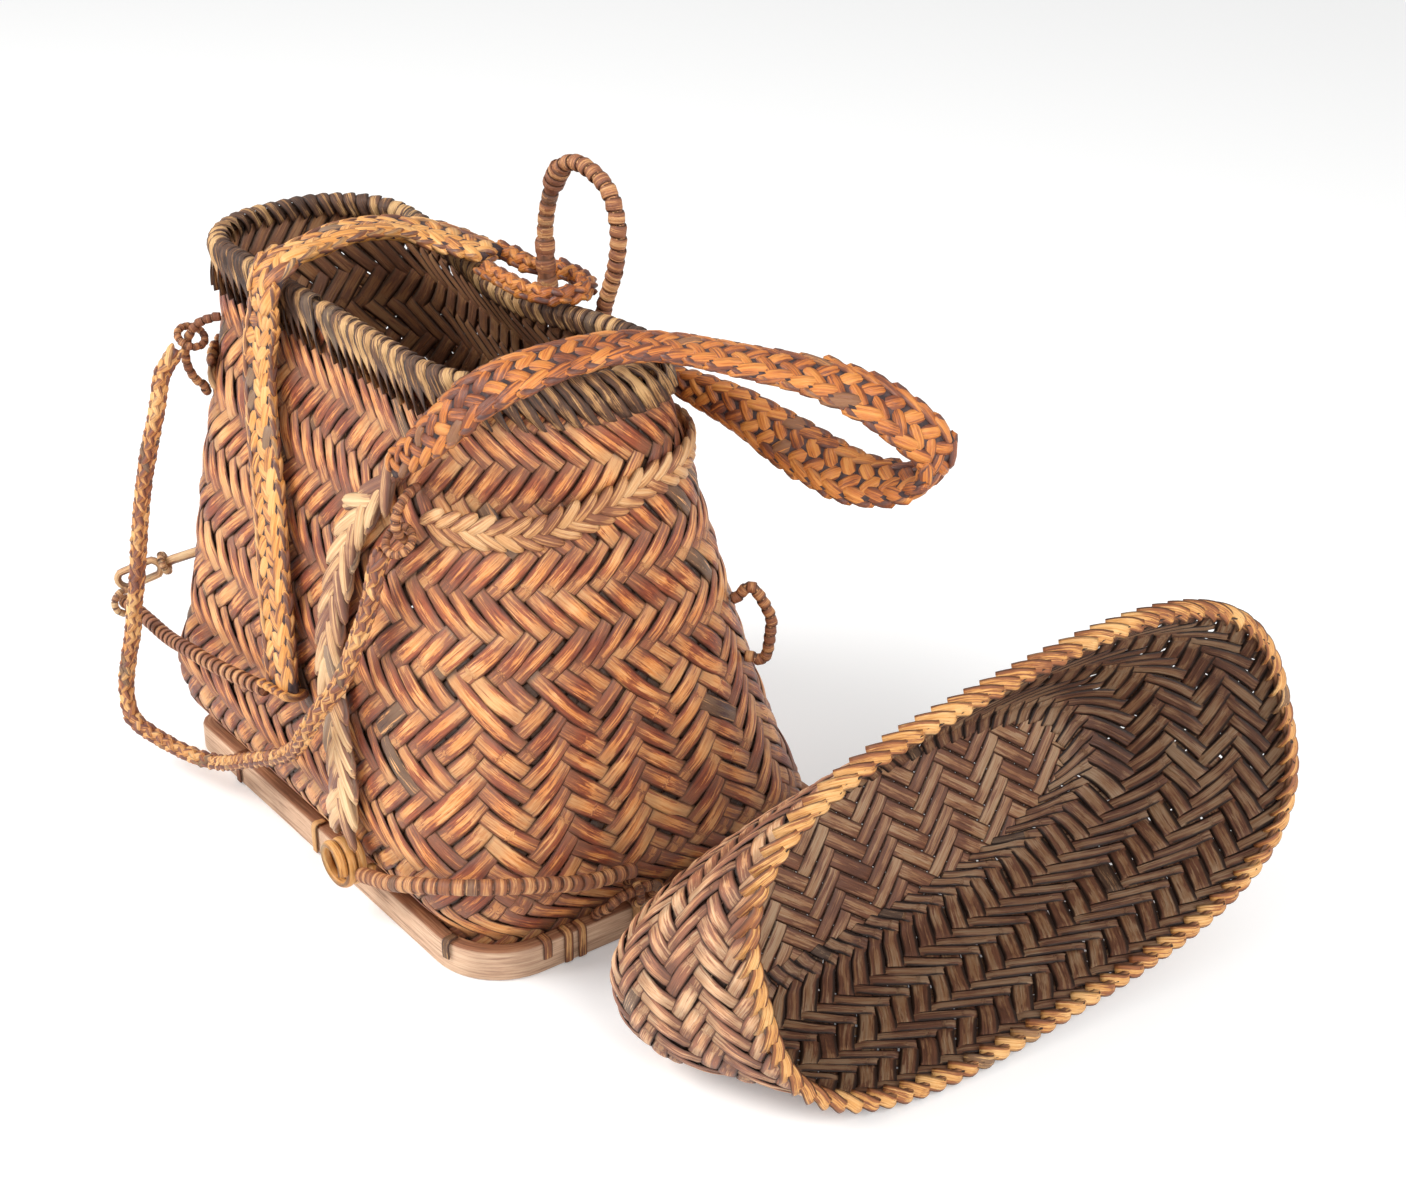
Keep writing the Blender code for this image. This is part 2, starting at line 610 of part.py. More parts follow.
def anchor_ring_top(around, lift):
    """Where a cord ends over its anchor ring, at a lift above it."""
    middle, along = anchor_middle(around)
    return middle + Vector((0, 0, ANCHOR_RING_RADIUS + ANCHOR_RING_STRAND / 2 + SEAT + lift))


def make_anchor(side, around):
    """Rattan loop standing on the base frame beside the body, and the strap's end ring round it."""
    middle, along = anchor_middle(around)
    radius = ANCHOR_DIAMETER / 2
    sign = 1 if middle.x > 0 else -1
    foot_x = sign * (HALF_LENGTH - BASE_THICKNESS * 0.22)
    foot_z = BASE_HEIGHT + SEAT * 1.5
    far = ANCHOR_LENGTH / 2
    lean = ANCHOR_REACH * 0.05
    points = []
    for end in (-1, 1):
        foot = Vector((foot_x, middle.y + end * far, foot_z))
        knee = foot + Vector((sign * lean * 2, 0, radius * 1.2))
        bend = Vector((middle.x - sign * lean, middle.y + end * far * 0.9, middle.z - radius * 1.4))
        shoulder = middle + along * end * far * 0.5
        points += [foot, knee, bend, shoulder] if end < 0 else [shoulder, bend, knee, foot]
    tube(f"anchor_loop_{side}", smooth_path(points, radius * 1.5), ANCHOR_DIAMETER, RATTAN, sides=2)
    make_ring(f"anchor_ring_{side}", middle, along, ANCHOR_RING_RADIUS, ANCHOR_RING_STRAND, RATTAN)


def cord_right_points():
    start = coil_centre() + Vector((COIL_RADIUS + COIL_STRAND / 2 + CORD_DIAMETER / 4, 0, 0))
    side = [skin(u, level(s), CORD_STAND_OFF + CORD_DIAMETER / 2) for u, s in CORD_RIGHT_SHARES]
    return [start, (start + side[0]) / 2] + side + [anchor_ring_top(RIGHT_ANCHOR_SHARE, CORD_DIAMETER / 2)]


def make_cord_right():
    return tube("strap_right_cord", smooth_path(cord_right_points(), CORD_DIAMETER * 1.2), CORD_DIAMETER, RATTAN)


# Left strap's cord: from the strap's end round the near left corner to the first small ring
LEFT_CORD_SHARES = ((-0.105, -1.158, 0.341), (-0.200, -1.171, 0.335), (-0.427, -1.188, 0.317),
                    (-0.667, -1.184, 0.297), (-0.867, -1.162, 0.274), (-1.067, -1.140, 0.262),
                    (-1.215, -1.132, 0.257), (-1.310, -1.128, 0.253))
LOW_RING_SHARES = (-1.290, -1.129, 0.254)
LINK_SHARES = (-1.297, -1.043, 0.3015)
KNOT_SHARES = (-1.215, -0.870, 0.333)
LEFT_TAIL_SHARES = ((-1.135, -0.740, 0.352), (-1.105, -0.600, 0.335), (-1.100, -0.430, 0.270))


def make_ring(name, centre, axis, radius, strand, colour, parent=basket_root):
    """Small closed ring of one strand round an axis."""
    side = axis.orthogonal().normalized()
    other = axis.cross(side).normalized()
    count = 16
    points = [centre + (side * cos(2 * pi * i / count) + other * sin(2 * pi * i / count)) * radius
              for i in range(count)]
    return tube(name, points, strand, colour, cyclic=True, sides=2, parent=parent)


def make_left_cord():
    """Cord, ring, link, knot and strip that lead from the left strap's end round to its anchor."""
    cord = [at_shares(*shares) for shares in LEFT_CORD_SHARES]
    tube("strap_left_cord", smooth_path(cord, CORD_DIAMETER * 1.2), CORD_DIAMETER, RATTAN)
    low = at_shares(*LOW_RING_SHARES)
    link = at_shares(*LINK_SHARES)
    ahead = (at_shares(*KNOT_SHARES) - link).normalized()
    knot = link + ahead * ((LINK_LENGTH + KNOT_STRAND) / 2 - SEAT * 2)
    start = knot + ahead * (KNOT_STRAND / 3)
    over = anchor_ring_top(LEFT_ANCHOR_SHARE, 0)
    tail = [start, start + ahead * TAIL_DIAMETER] + [at_shares(*shares) for shares in LEFT_TAIL_SHARES] + [over]
    collar = (CORD_DIAMETER + KNOT_STRAND) / 2 + SEAT
    make_ring("strap_left_ring", low, (cord[-1] - cord[-2]).normalized(), collar, KNOT_STRAND, RATTAN_PALE)
    make_link("strap_left_link", link, ahead)
    make_ring("strap_left_knot", knot, ahead, KNOT_RADIUS * 0.7, KNOT_STRAND, RATTAN_PALE)
    tube("strap_left_tail", smooth_path(tail, TAIL_DIAMETER * 1.6), TAIL_DIAMETER, RATTAN)


def make_link(name, centre, ahead):
    """Long closed link of one strand along a direction."""
    across = Vector((0, 0, 1)).cross(ahead).cross(ahead).normalized()
    half = (LINK_LENGTH - LINK_WIDTH) / 2
    radius = (LINK_WIDTH - KNOT_STRAND) / 2
    points = []
    for end in (1, -1):
        for turn in (-90, -45, 0, 45, 90):
            swing = radians(turn)
            points.append(centre + ahead * end * (half + radius * cos(swing)) + across * end * radius * sin(swing))
    return tube(name, points, KNOT_STRAND, RATTAN_PALE, cyclic=True, sides=2)


# Small loop that stands out of the far right corner, feet given around the body and up its height
SIDE_LOOP_FEET_SHARES = ((0.338, 0.520), (0.338, 0.405))
SIDE_LOOP_REACH = 0.019


def make_side_loop():
    (u_high, s_high), (u_low, s_low) = SIDE_LOOP_FEET_SHARES
    radius = SMALL_LOOP_DIAMETER / 2
    high = level(s_high)
    low = level(s_low)
    mid = (high + low) / 2
    lift = Vector((0, 0, radius * 2))
    points = wall_stub(u_high, high, radius) + [
        skin(u_high, high, SIDE_LOOP_REACH * 0.6) + lift, skin(u_high, (high + mid) / 2, SIDE_LOOP_REACH),
        skin(u_low, mid, SIDE_LOOP_REACH * 0.95), skin(u_low, low, SIDE_LOOP_REACH * 0.6)]
    points += wall_stub(u_low, low, radius)[::-1]
    return tube("side_loop", smooth_path(points, SMALL_LOOP_DIAMETER * 0.8), SMALL_LOOP_DIAMETER, RATTAN)


NEAR_LOOP_SHARE = 0.112
NEAR_LOOP_HEIGHT_SHARE = 0.762
NEAR_LOOP_REACH = 0.0150
NEAR_LOOP_RISE = 0.0125
HOOK_TURN = radians(-38)


def near_loop_point(turn):
    """Point of the near neck loop."""
    height = level(NEAR_LOOP_HEIGHT_SHARE)
    return skin(NEAR_LOOP_SHARE, height, NEAR_LOOP_REACH * cos(turn)) + Vector((0, 0, NEAR_LOOP_RISE * sin(turn)))


def make_near_neck_loop():
    """Small wrapped loop on the near side of the neck, which the rope's hook holds."""
    radius = SMALL_LOOP_DIAMETER * 0.8 / 2
    middle = level(NEAR_LOOP_HEIGHT_SHARE)
    high = wall_stub(NEAR_LOOP_SHARE, middle + NEAR_LOOP_RISE, radius)
    low = wall_stub(NEAR_LOOP_SHARE, middle - NEAR_LOOP_RISE, radius)
    arch = [near_loop_point(radians(turn)) for turn in (60, 35, 10, -15, -40, -62)]
    return tube("near_neck_loop", smooth_path(high + arch + low[::-1], radius * 1.6), radius * 2, RATTAN)


# Lid's tie rope: from the loop at the left end of the neck, down in the air, along the base and up the near side
ROPE_POINTS = ((-0.1264, -0.1155, 0.2485), (-0.1262, -0.1245, 0.2370), (-0.1230, -0.1290, 0.2290),
               (-0.1224, -0.1325, 0.2170), (-0.1279, -0.1367, 0.1940), (-0.1317, -0.1390, 0.1780),
               (-0.1357, -0.1421, 0.1540), (-0.1385, -0.1435, 0.1380), (-0.1446, -0.1450, 0.1120),
               (-0.1488, -0.1465, 0.0950), (-0.1507, -0.1480, 0.0810), (-0.1552, -0.1500, 0.0640),
               (-0.1580, -0.1520, 0.0480), (-0.1550, -0.1535, 0.0360), (-0.1470, -0.1535, 0.0280),
               (-0.1340, -0.1490, 0.0235), (-0.1190, -0.1440, 0.0215), (-0.1040, -0.1390, 0.0210),
               (-0.0880, -0.1350, 0.0240), (-0.0640, -0.1360, 0.0360), (-0.0400, -0.1380, 0.0500),
               (0.0020, -0.1410, 0.0740), (0.0270, -0.1440, 0.0910), (0.0455, -0.1460, 0.1100),
               (0.0580, -0.1440, 0.1280), (0.0680, -0.1370, 0.1450), (0.0730, -0.1300, 0.1650),
               (0.0785, -0.1235, 0.1880), (0.0785, -0.1185, 0.2050), (0.0804, -0.1150, 0.2151))
LEFT_NECK_SHARE = 0.845
LEFT_NECK_HEIGHT_SHARE = 0.800
LEFT_NECK_REACH = 0.0175
LEFT_NECK_RISE = 0.0207
LEFT_NECK_RING_TURN = radians(35)


def left_neck_point(turn):
    """Point of the left neck loop, which stands out from the wall round the top of the rope."""
    height = level(LEFT_NECK_HEIGHT_SHARE)
    return skin(LEFT_NECK_SHARE, height, LEFT_NECK_REACH * cos(turn)) + Vector((0, 0, LEFT_NECK_RISE * sin(turn)))


def make_left_neck_loop():
    """Wrapped loop at the left of the neck that carries the rope's ring, both feet square on the wall."""
    radius = SMALL_LOOP_DIAMETER * 0.8 / 2
    middle = level(LEFT_NECK_HEIGHT_SHARE)
    high = wall_stub(LEFT_NECK_SHARE, middle + LEFT_NECK_RISE, radius)
    low = wall_stub(LEFT_NECK_SHARE, middle - LEFT_NECK_RISE, radius)
    arch = [left_neck_point(radians(turn)) for turn in (60, 35, 10, -15, -40, -62)]
    return tube("left_neck_loop", smooth_path(high + arch + low[::-1], radius * 1.6), radius * 2, RATTAN)


def hanging(axis):
    """Direction in which a ring round an axis hangs."""
    down = Vector((0, 0, -1))
    return (down - axis * down.dot(axis)).normalized()


def make_rope():
    """Rope, the ring at its hung end and the ring of its hook."""
    tube("lid_tie_rope", smooth_path(ROPE_POINTS, ROPE_DIAMETER * 1.6), ROPE_DIAMETER, RATTAN)
    slack = KNOT_RADIUS - (KNOT_STRAND + SMALL_LOOP_DIAMETER * 0.8) / 2 - SEAT
    centre = left_neck_point(LEFT_NECK_RING_TURN)
    along = (left_neck_point(LEFT_NECK_RING_TURN * 1.1) - centre).normalized()
    lean = Vector((1, -0.75, 0.65)).normalized()
    axis = (along + lean * 0.7).normalized()
    make_ring("rope_eye_ring", centre + hanging(axis) * slack * 0.75, axis, KNOT_RADIUS, KNOT_STRAND, RATTAN)
    hook = near_loop_point(HOOK_TURN)
    along = (hook - near_loop_point(HOOK_TURN * 1.1)).normalized()
    make_ring("rope_hook_ring", hook + hanging(along) * slack, along, KNOT_RADIUS, KNOT_STRAND, RATTAN)


# Lid sections from the mouth to the crown: depth share of the lid's depth, half length and half width
# shares of its own, shift along and across as shares of its half length, roundness of the oval
LID_SHARES = (
    (0.00, 1.000, 1.000, 0.000, 0.000, 3.0),
    (0.16, 1.010, 0.940, -0.037, -0.012, 2.9),
    (0.33, 1.012, 0.872, -0.080, -0.025, 2.9),
    (0.50, 1.008, 0.795, -0.130, -0.043, 2.8),
    (0.66, 1.000, 0.712, -0.174, -0.060, 2.8),
    (0.80, 0.975, 0.640, -0.205, -0.070, 2.7),
    (0.91, 0.940, 0.560, -0.224, -0.074, 2.7),
    (0.98, 0.880, 0.470, -0.234, -0.076, 2.6),
    (1.00, 0.790, 0.370, -0.238, -0.076, 2.5),
)
LID_SIDES_AROUND = 56


def lid_axes():
    """Long axis, across axis and outward axis of the lid's mouth, as it lies."""
    out = Vector((cos(LID_FACING) * cos(LID_TIP), sin(LID_FACING) * cos(LID_TIP), sin(LID_TIP)))
    level_axis = Vector((-sin(LID_FACING), cos(LID_FACING), 0))
    upright = out.cross(level_axis)
    along = level_axis * cos(LID_ROLL) + upright * sin(LID_ROLL)
    across = upright * cos(LID_ROLL) - level_axis * sin(LID_ROLL)
    return along, across, out


def lid_point(around, depth_share, off=0.0, forward=0.0):
    """Point of the lid's outer face in the lid's own axes: share around, depth share, distance outwards."""
    table = np.array(LID_SHARES)
    a, b, shift_x, shift_y, power = [np.interp(depth_share, table[:, 0], table[:, i]) for i in range(1, 6)]
    half_x = a * LID_LENGTH / 2
    half_y = b * LID_WIDTH / 2
    turn = 2 * pi * around
    c = cos(turn)
    s = sin(turn)
    x = (half_x + off) * abs(c) ** (2 / power) * (1 if c > 0 else -1)
    y = (half_y + off) * abs(s) ** (2 / power) * (1 if s > 0 else -1)
    return Vector((x + shift_x * LID_LENGTH / 2, y + shift_y * LID_LENGTH / 2, forward - depth_share * LID_DEPTH))


def lid_ring(depth_share, off=0.0, forward=0.0):
    """Evenly spaced points round the lid at one depth."""
    dense = [lid_point(i / 360, depth_share, off, forward) for i in range(361)]
    run = [0]
    for a, b in zip(dense, dense[1:]):
        run.append(run[-1] + (b - a).length)
    marks = [run[-1] * i / LID_SIDES_AROUND for i in range(LID_SIDES_AROUND)]
    return [Vector([np.interp(m, run, [p[k] for p in dense]) for k in range(3)]) for m in marks]


def lid_place():
    """Matrix that lays the lid on the ground beside the basket."""
    along, across, out = lid_axes()
    turn = Matrix((along, across, out)).transposed()
    low = min((turn @ point).z for row in LID_SHARES for point in lid_ring(row[0]))
    rim_low = min((turn @ point).z for point in lid_ring(0, LID_BORDER_THICKNESS + SEAT))
    drop = min(low, rim_low)
    return Matrix.Translation((LID_X, LID_Y, -drop)) @ turn.to_4x4()


def make_lid():
    """Lid: a deep oval cap, outer face from its mouth to the crown and inner face back."""
    place = lid_place()
    rings = [lid_ring(row[0]) for row in reversed(LID_SHARES)]
    inner_shares = (0.0, 0.25, 0.50, 0.75, 0.90, 0.985)
    rings += [lid_ring(share, -LID_WALL, 0 if share < 0.5 else share * LID_WALL) for share in inner_shares]
    shell = [[place @ point for point in ring] for ring in rings]
    return lofted("lid_shell", shell, False, RATTAN, 0.6, lid_root)


def make_lid_border():
    """Plaited edge of the lid: a thin cap over the mouth's edge."""
    place = lid_place()
    depth = LID_BORDER_HEIGHT / LID_DEPTH
    outside = SEAT + LID_BORDER_THICKNESS
    inside = -LID_WALL - SEAT - LID_BORDER_THICKNESS
    top = GAP + LID_BORDER_THICKNESS
    columns = [lid_ring(depth, SEAT), lid_ring(depth, outside), lid_ring(0, outside), lid_ring(0, SEAT, top),
               lid_ring(0, -LID_WALL - SEAT, top), lid_ring(0, inside), lid_ring(depth / 2, inside),
               lid_ring(depth / 2, -LID_WALL - SEAT), lid_ring(0, -LID_WALL - SEAT, GAP), lid_ring(0, SEAT, GAP)]
    rings = [[place @ column[i] for column in columns] for i in range(LID_SIDES_AROUND)]
    return lofted("lid_border", rings, True, RATTAN_GOLD, 0.6, lid_root)


# The right strap swings about the line through its two ends. The left one lifts off the body about a line
# from the middle of its upper end to the right corner of its lower end.
LEFT_HOOK = at_shares(-0.120, 0.012, 1.021)
LEFT_END = strap_on_side(*STRAP_LEFT_SIDE_SHARES[-1], STRAP_THICKNESS, STRAP_STAND_OFF) + Vector((STRAP_WIDTH / 2, 0, 0))


def swing_empty(name, place):
    """Empty on a strap's swing axis, which carries the strap and its eye."""
    empty = bpy.data.objects.new(name, None)
    bpy.context.scene.collection.objects.link(empty)
    empty.location = place
    empty.parent = basket_root
    return empty


swing_left = swing_empty("swing_left", LEFT_HOOK)
swing_right = swing_empty("swing_right", RIGHT_EYE_CENTRE)

make_base_frame()
make_body()
make_rim_border()
make_neck_band()
for number, (share, whole) in enumerate(LASHING_SHARES, 1):
    make_lashing(number, share, whole)
make_tall_loop()
make_low_loop()
make_strap_left()
make_strap_left_eye()
make_strap_right()
make_strap_right_eye()
make_coil()
make_braid()
make_cord_right()
make_anchor("right", RIGHT_ANCHOR_SHARE)
make_anchor("left", LEFT_ANCHOR_SHARE)
make_left_cord()
make_side_loop()
make_near_neck_loop()
make_left_neck_loop()
make_rope()
make_lid()
make_lid_border()

# The whole group moves so that the origin is the middle of its underside, free cord pieces left out
CORD_PIECES = ("lid_tie_rope", "rope_eye_ring", "rope_hook_ring")


def extent():
    """Low and high corner of every piece but the free cord's."""
    depsgraph = bpy.context.evaluated_depsgraph_get()
    corners = []
    for piece in bpy.data.objects:
        if piece.type == "EMPTY" or piece.name in CORD_PIECES:
            continue
        shape = piece.evaluated_get(depsgraph)
        mesh = shape.to_mesh()
        corners += [tuple(piece.matrix_world @ vertex.co) for vertex in mesh.vertices]
        shape.to_mesh_clear()
    corners = np.array(corners)
    return corners.min(axis=0), corners.max(axis=0)


bpy.context.view_layer.update()
lowest, highest = extent()
shift = Vector((-(lowest[0] + highest[0]) / 2, -(lowest[1] + highest[1]) / 2, -lowest[2]))
basket_root.location = shift
lid_root.location = shift
bpy.context.view_layer.update()
print("basket frame's middle", [round(value, 5) for value in shift])
print("left swing", [round(v, 5) for v in LEFT_HOOK + shift], [round(v, 5) for v in (LEFT_HOOK - LEFT_END).normalized()])
print("right swing", [round(v, 5) for v in RIGHT_EYE_CENTRE + shift],
      [round(v, 5) for v in (RIGHT_EYE_CENTRE - RIGHT_JOIN).normalized()])
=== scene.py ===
"""A plaited rattan pack basket with its lid beside it, dressed over its CAD model."""
import bpy
import numpy as np
from math import cos, pi, radians, sin
from mathutils import Matrix, Vector


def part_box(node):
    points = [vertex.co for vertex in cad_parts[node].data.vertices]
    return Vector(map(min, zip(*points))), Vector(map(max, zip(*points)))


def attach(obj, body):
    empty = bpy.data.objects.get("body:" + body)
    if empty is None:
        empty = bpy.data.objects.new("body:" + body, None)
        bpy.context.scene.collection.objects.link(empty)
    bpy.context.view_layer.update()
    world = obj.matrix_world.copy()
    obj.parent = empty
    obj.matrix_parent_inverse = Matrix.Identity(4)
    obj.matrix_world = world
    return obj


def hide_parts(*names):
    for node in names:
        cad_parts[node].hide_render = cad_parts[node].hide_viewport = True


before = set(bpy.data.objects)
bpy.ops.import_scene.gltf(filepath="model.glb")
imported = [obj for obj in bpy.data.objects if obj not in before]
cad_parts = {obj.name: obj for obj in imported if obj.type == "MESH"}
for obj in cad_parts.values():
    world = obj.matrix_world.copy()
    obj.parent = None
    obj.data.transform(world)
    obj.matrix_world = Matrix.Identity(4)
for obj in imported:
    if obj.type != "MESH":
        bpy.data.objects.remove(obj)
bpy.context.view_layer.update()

# Studio: the camera stands where the photograph was taken, over a plain pale floor.
# One large soft lamp from the left and front, a weaker one from the right, and a pale sky.
CAMERA_PLACE = (0.93168, -0.66827, 0.741)
CAMERA_AIM = (-0.18732, 0.16273, 0.0)
LAMP_AIM = (0, 0, 0.12)
LAMPS = (("window_lamp", (-0.80, -1.55, 1.38), 1.1, 39), ("side_lamp", (1.75, -0.15, 1.15), 1.2, 32))
SKY_STRENGTH = 0.60
FLOOR_REACH = 25
FLOOR_HEIGHT = -0.0005
FLOOR_GLOW = 0.18


def linked(name, data, place=None, aim=None):
    """An object in the scene; where it is given a place, it stands there and looks at its aim."""
    made = bpy.data.objects.new(name, data)
    bpy.context.scene.collection.objects.link(made)
    if place:
        made.location = place
        made.rotation_euler = (Vector(aim) - made.location).to_track_quat("-Z", "Y").to_euler()
    return made


camera_data = bpy.data.cameras.new("camera")
camera_data.lens = 64.01
camera_data.sensor_width = 36
bpy.context.scene.camera = linked("camera", camera_data, CAMERA_PLACE, CAMERA_AIM)
bpy.context.scene.view_settings.view_transform = "Standard"
for name, place, size, power in LAMPS:
    lamp = bpy.data.lights.new(name, "AREA")
    lamp.size = size
    lamp.energy = power
    linked(name, lamp, place, LAMP_AIM)


def linear(code):
    """An sRGB hex colour as linear red, green, blue and alpha."""
    parts = [int(code[i:i + 2], 16) / 255 for i in (1, 3, 5)]
    return (*[c / 12.92 if c <= 0.04045 else ((c + 0.055) / 1.055) ** 2.4 for c in parts], 1.0)


def feed(tree, node, inputs):
    """Give a node its inputs, each a value, or the socket or node that feeds it."""
    for key, value in inputs.items():
        if isinstance(value, bpy.types.Node):
            value = next(socket for socket in value.outputs if socket.enabled)
        if isinstance(value, bpy.types.NodeSocket):
            tree.links.new(value, node.inputs[key])
        else:
            node.inputs[key].default_value = value
    return node


def add(tree, kind, inputs=None, stops=(), **settings):
    """One node with its settings and inputs, and for a colour ramp its stops, each a place and a hex colour."""
    made = tree.nodes.new(kind)
    for name, value in settings.items():
        setattr(made, name, value)
    while stops and len(made.color_ramp.elements) < len(stops):
        made.color_ramp.elements.new(1.0)
    for number, (place, code) in enumerate(stops):
        made.color_ramp.elements[number].position = place
        made.color_ramp.elements[number].color = linear(code)
    return feed(tree, made, inputs or {})


def surface(name):
    """A material with its tree and its shader, which has yet to be fed."""
    made = bpy.data.materials.new(name)
    made.use_nodes = True
    made.node_tree.nodes.clear()
    shader = add(made.node_tree, "ShaderNodeBsdfPrincipled")
    add(made.node_tree, "ShaderNodeOutputMaterial", {"Surface": shader})
    return made, made.node_tree, shader


sky = bpy.data.worlds.new("pale_sky")
sky.use_nodes = True
feed(sky.node_tree, sky.node_tree.nodes["Background"], {"Color": (1, 1, 1, 1), "Strength": SKY_STRENGTH})
bpy.context.scene.world = sky

# Matt white paper. A faint glow to the camera clears it to white, and the object's shadow stays on it.
floor_paper, tree, shader = surface("white_studio_paper")
rays = add(tree, "ShaderNodeLightPath").outputs
straight = add(tree, "ShaderNodeMath", {0: rays["Is Camera Ray"], 1: rays["Is Glossy Ray"]}, operation="MAXIMUM")
straight = add(tree, "ShaderNodeMath", {0: straight, 1: rays["Is Transmission Ray"]}, operation="MAXIMUM")
glow = add(tree, "ShaderNodeMath", {0: straight, 1: FLOOR_GLOW}, operation="MULTIPLY")
feed(tree, shader, {"Base Color": linear("#F1F1F0"), "Roughness": 0.9, "Emission Color": (0.97, 0.98, 1.0, 1.0),
                    "Emission Strength": glow})
floor_mesh = bpy.data.meshes.new("studio_floor")
floor_mesh.from_pydata([(x * FLOOR_REACH, y * FLOOR_REACH, FLOOR_HEIGHT)
                        for x, y in ((-1, -1), (1, -1), (1, 1), (-1, 1))], [], [(0, 1, 2, 3)])
floor_mesh.materials.append(floor_paper)
linked("studio_floor", floor_mesh)

# Rope that ties the lid: four strands of split rattan plaited round, about 8 mm thick.
# It hangs from a wound ring at the left of the neck, lies along the base and climbs the near side to its hook.
base_low, base_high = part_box("base_frame")
HOME = np.array([(base_low.x + base_high.x) / 2, (base_low.y + base_high.y) / 2, 0.0])
random = np.random.default_rng(7)
ROPE_DIAMETER = 0.0078
ROPE_PITCH = 0.0084
ROPE_CORE = 0.0052
ROPE_ROUTE = ((-0.1264, -0.1155, 0.2485), (-0.1262, -0.1245, 0.2370), (-0.1230, -0.1290, 0.2290),
              (-0.1224, -0.1325, 0.2170), (-0.1279, -0.1367, 0.1940), (-0.1317, -0.1390, 0.1780),
              (-0.1357, -0.1421, 0.1540), (-0.1385, -0.1435, 0.1380), (-0.1446, -0.1450, 0.1120),
              (-0.1488, -0.1465, 0.0950), (-0.1507, -0.1480, 0.0810), (-0.1552, -0.1500, 0.0640),
              (-0.1580, -0.1520, 0.0480), (-0.1550, -0.1535, 0.0360), (-0.1470, -0.1535, 0.0280),
              (-0.1340, -0.1490, 0.0235), (-0.1190, -0.1440, 0.0215), (-0.1040, -0.1390, 0.0210),
              (-0.0880, -0.1350, 0.0240), (-0.0640, -0.1360, 0.0360), (-0.0400, -0.1380, 0.0500),
              (0.0020, -0.1410, 0.0740), (0.0270, -0.1440, 0.0910), (0.0455, -0.1460, 0.1100),
              (0.0580, -0.1440, 0.1280), (0.0680, -0.1370, 0.1450), (0.0730, -0.1300, 0.1650),
              (0.0785, -0.1235, 0.1880), (0.0785, -0.1185, 0.2050), (0.0804, -0.1150, 0.2151))


def travelled(points):
    """The way run along a path up to each of its points."""
    return np.concatenate([[0], np.cumsum(np.linalg.norm(np.diff(points, axis=0), axis=1))])


def at_marks(marks, run, values):
    """What a path's values are at marks along its run."""
    return np.stack([np.interp(marks, run, values[:, i]) for i in range(values.shape[1])], axis=1)


def smooth_path(points, step, cyclic=False):
    """Points at even steps along a smooth curve through the given ones."""
    given = np.array([tuple(point) for point in points], float)
    if cyclic:
        given = np.vstack([given[-1:], given, given[:2]])
    else:
        given = np.vstack([2 * given[0] - given[1], given, 2 * given[-1] - given[-2]])
    part = np.linspace(0, 1, 16, endpoint=False)[:, None]
    spans = [0.5 * ((2 * here) + (after - before) * part + (2 * before - 5 * here + 4 * after - beyond) * part ** 2
                    + (3 * here - before - 3 * after + beyond) * part ** 3)
             for before, here, after, beyond in zip(given, given[1:], given[2:], given[3:])]
    dense = np.vstack([*spans, given[-2:-1]])
    run = travelled(dense)
    count = max(int(round(run[-1] / step)), 3)
    marks = np.linspace(0, run[-1], count if cyclic else count + 1, endpoint=not cyclic)
    return at_marks(marks, run, dense)


def unit(vectors):
    """Vectors brought to a length of one."""
    return vectors / np.maximum(np.linalg.norm(vectors, axis=-1, keepdims=True), 1e-9)


def ahead_of(points, cyclic=False):
    """The direction of a path at each of its points."""
    if cyclic:
        return unit(np.roll(points, -1, axis=0) - np.roll(points, 1, axis=0))
    return unit(np.gradient(points, axis=0))


def carried_up(points, cyclic=False):
    """A direction square to the path, carried along it with no twist."""
    ahead = ahead_of(points, cyclic)
    up = np.array(Vector(ahead[0]).orthogonal().normalized())
    ups = []
    for direction in ahead:
        up = up - direction * up.dot(direction)
        up = up / np.linalg.norm(up)
        ups.append(up)
    if cyclic:
        end = ups[-1] - ahead[0] * ups[-1].dot(ahead[0])
        twist = np.arctan2(np.cross(ups[0], end).dot(ahead[0]), ups[0].dot(end))
        for i, direction in enumerate(ahead):
            back = Matrix.Rotation(-twist * i / len(ahead), 3, Vector(direction))
            ups[i] = np.array(back @ Vector(ups[i]))
    return np.array(ups)


def mesh_object(name, verts, faces, finish, **values):
    """Smooth mesh object that carries its grain directions and tones as attributes."""
    mesh = bpy.data.meshes.new(name)
    mesh.from_pydata(verts, [], faces)
    for label, data in values.items():
        kind, field = ("FLOAT_VECTOR", "vector") if np.ndim(data) == 2 else ("FLOAT", "value")
        mesh.attributes.new(label, kind, "POINT").data.foreach_set(field, np.asarray(data, float).ravel())
    if faces:
        mesh.shade_smooth()
        face_out(mesh)
    if finish:
        mesh.materials.append(finish)
    return linked(name, mesh)


def face_out(mesh):
    """Turn the faces of a mesh of closed shells outwards."""
    mesh.calc_loop_triangles()
    corners = np.empty(len(mesh.loop_triangles) * 3, int)
    mesh.loop_triangles.foreach_get("vertices", corners)
    places = np.empty(len(mesh.vertices) * 3)
    mesh.vertices.foreach_get("co", places)
    a, b, c = places.reshape(-1, 3)[corners.reshape(-1, 3)].transpose(1, 0, 2)
    if np.einsum("ij,ij->i", a, np.cross(b, c)).sum() < 0:
        mesh.flip_normals()


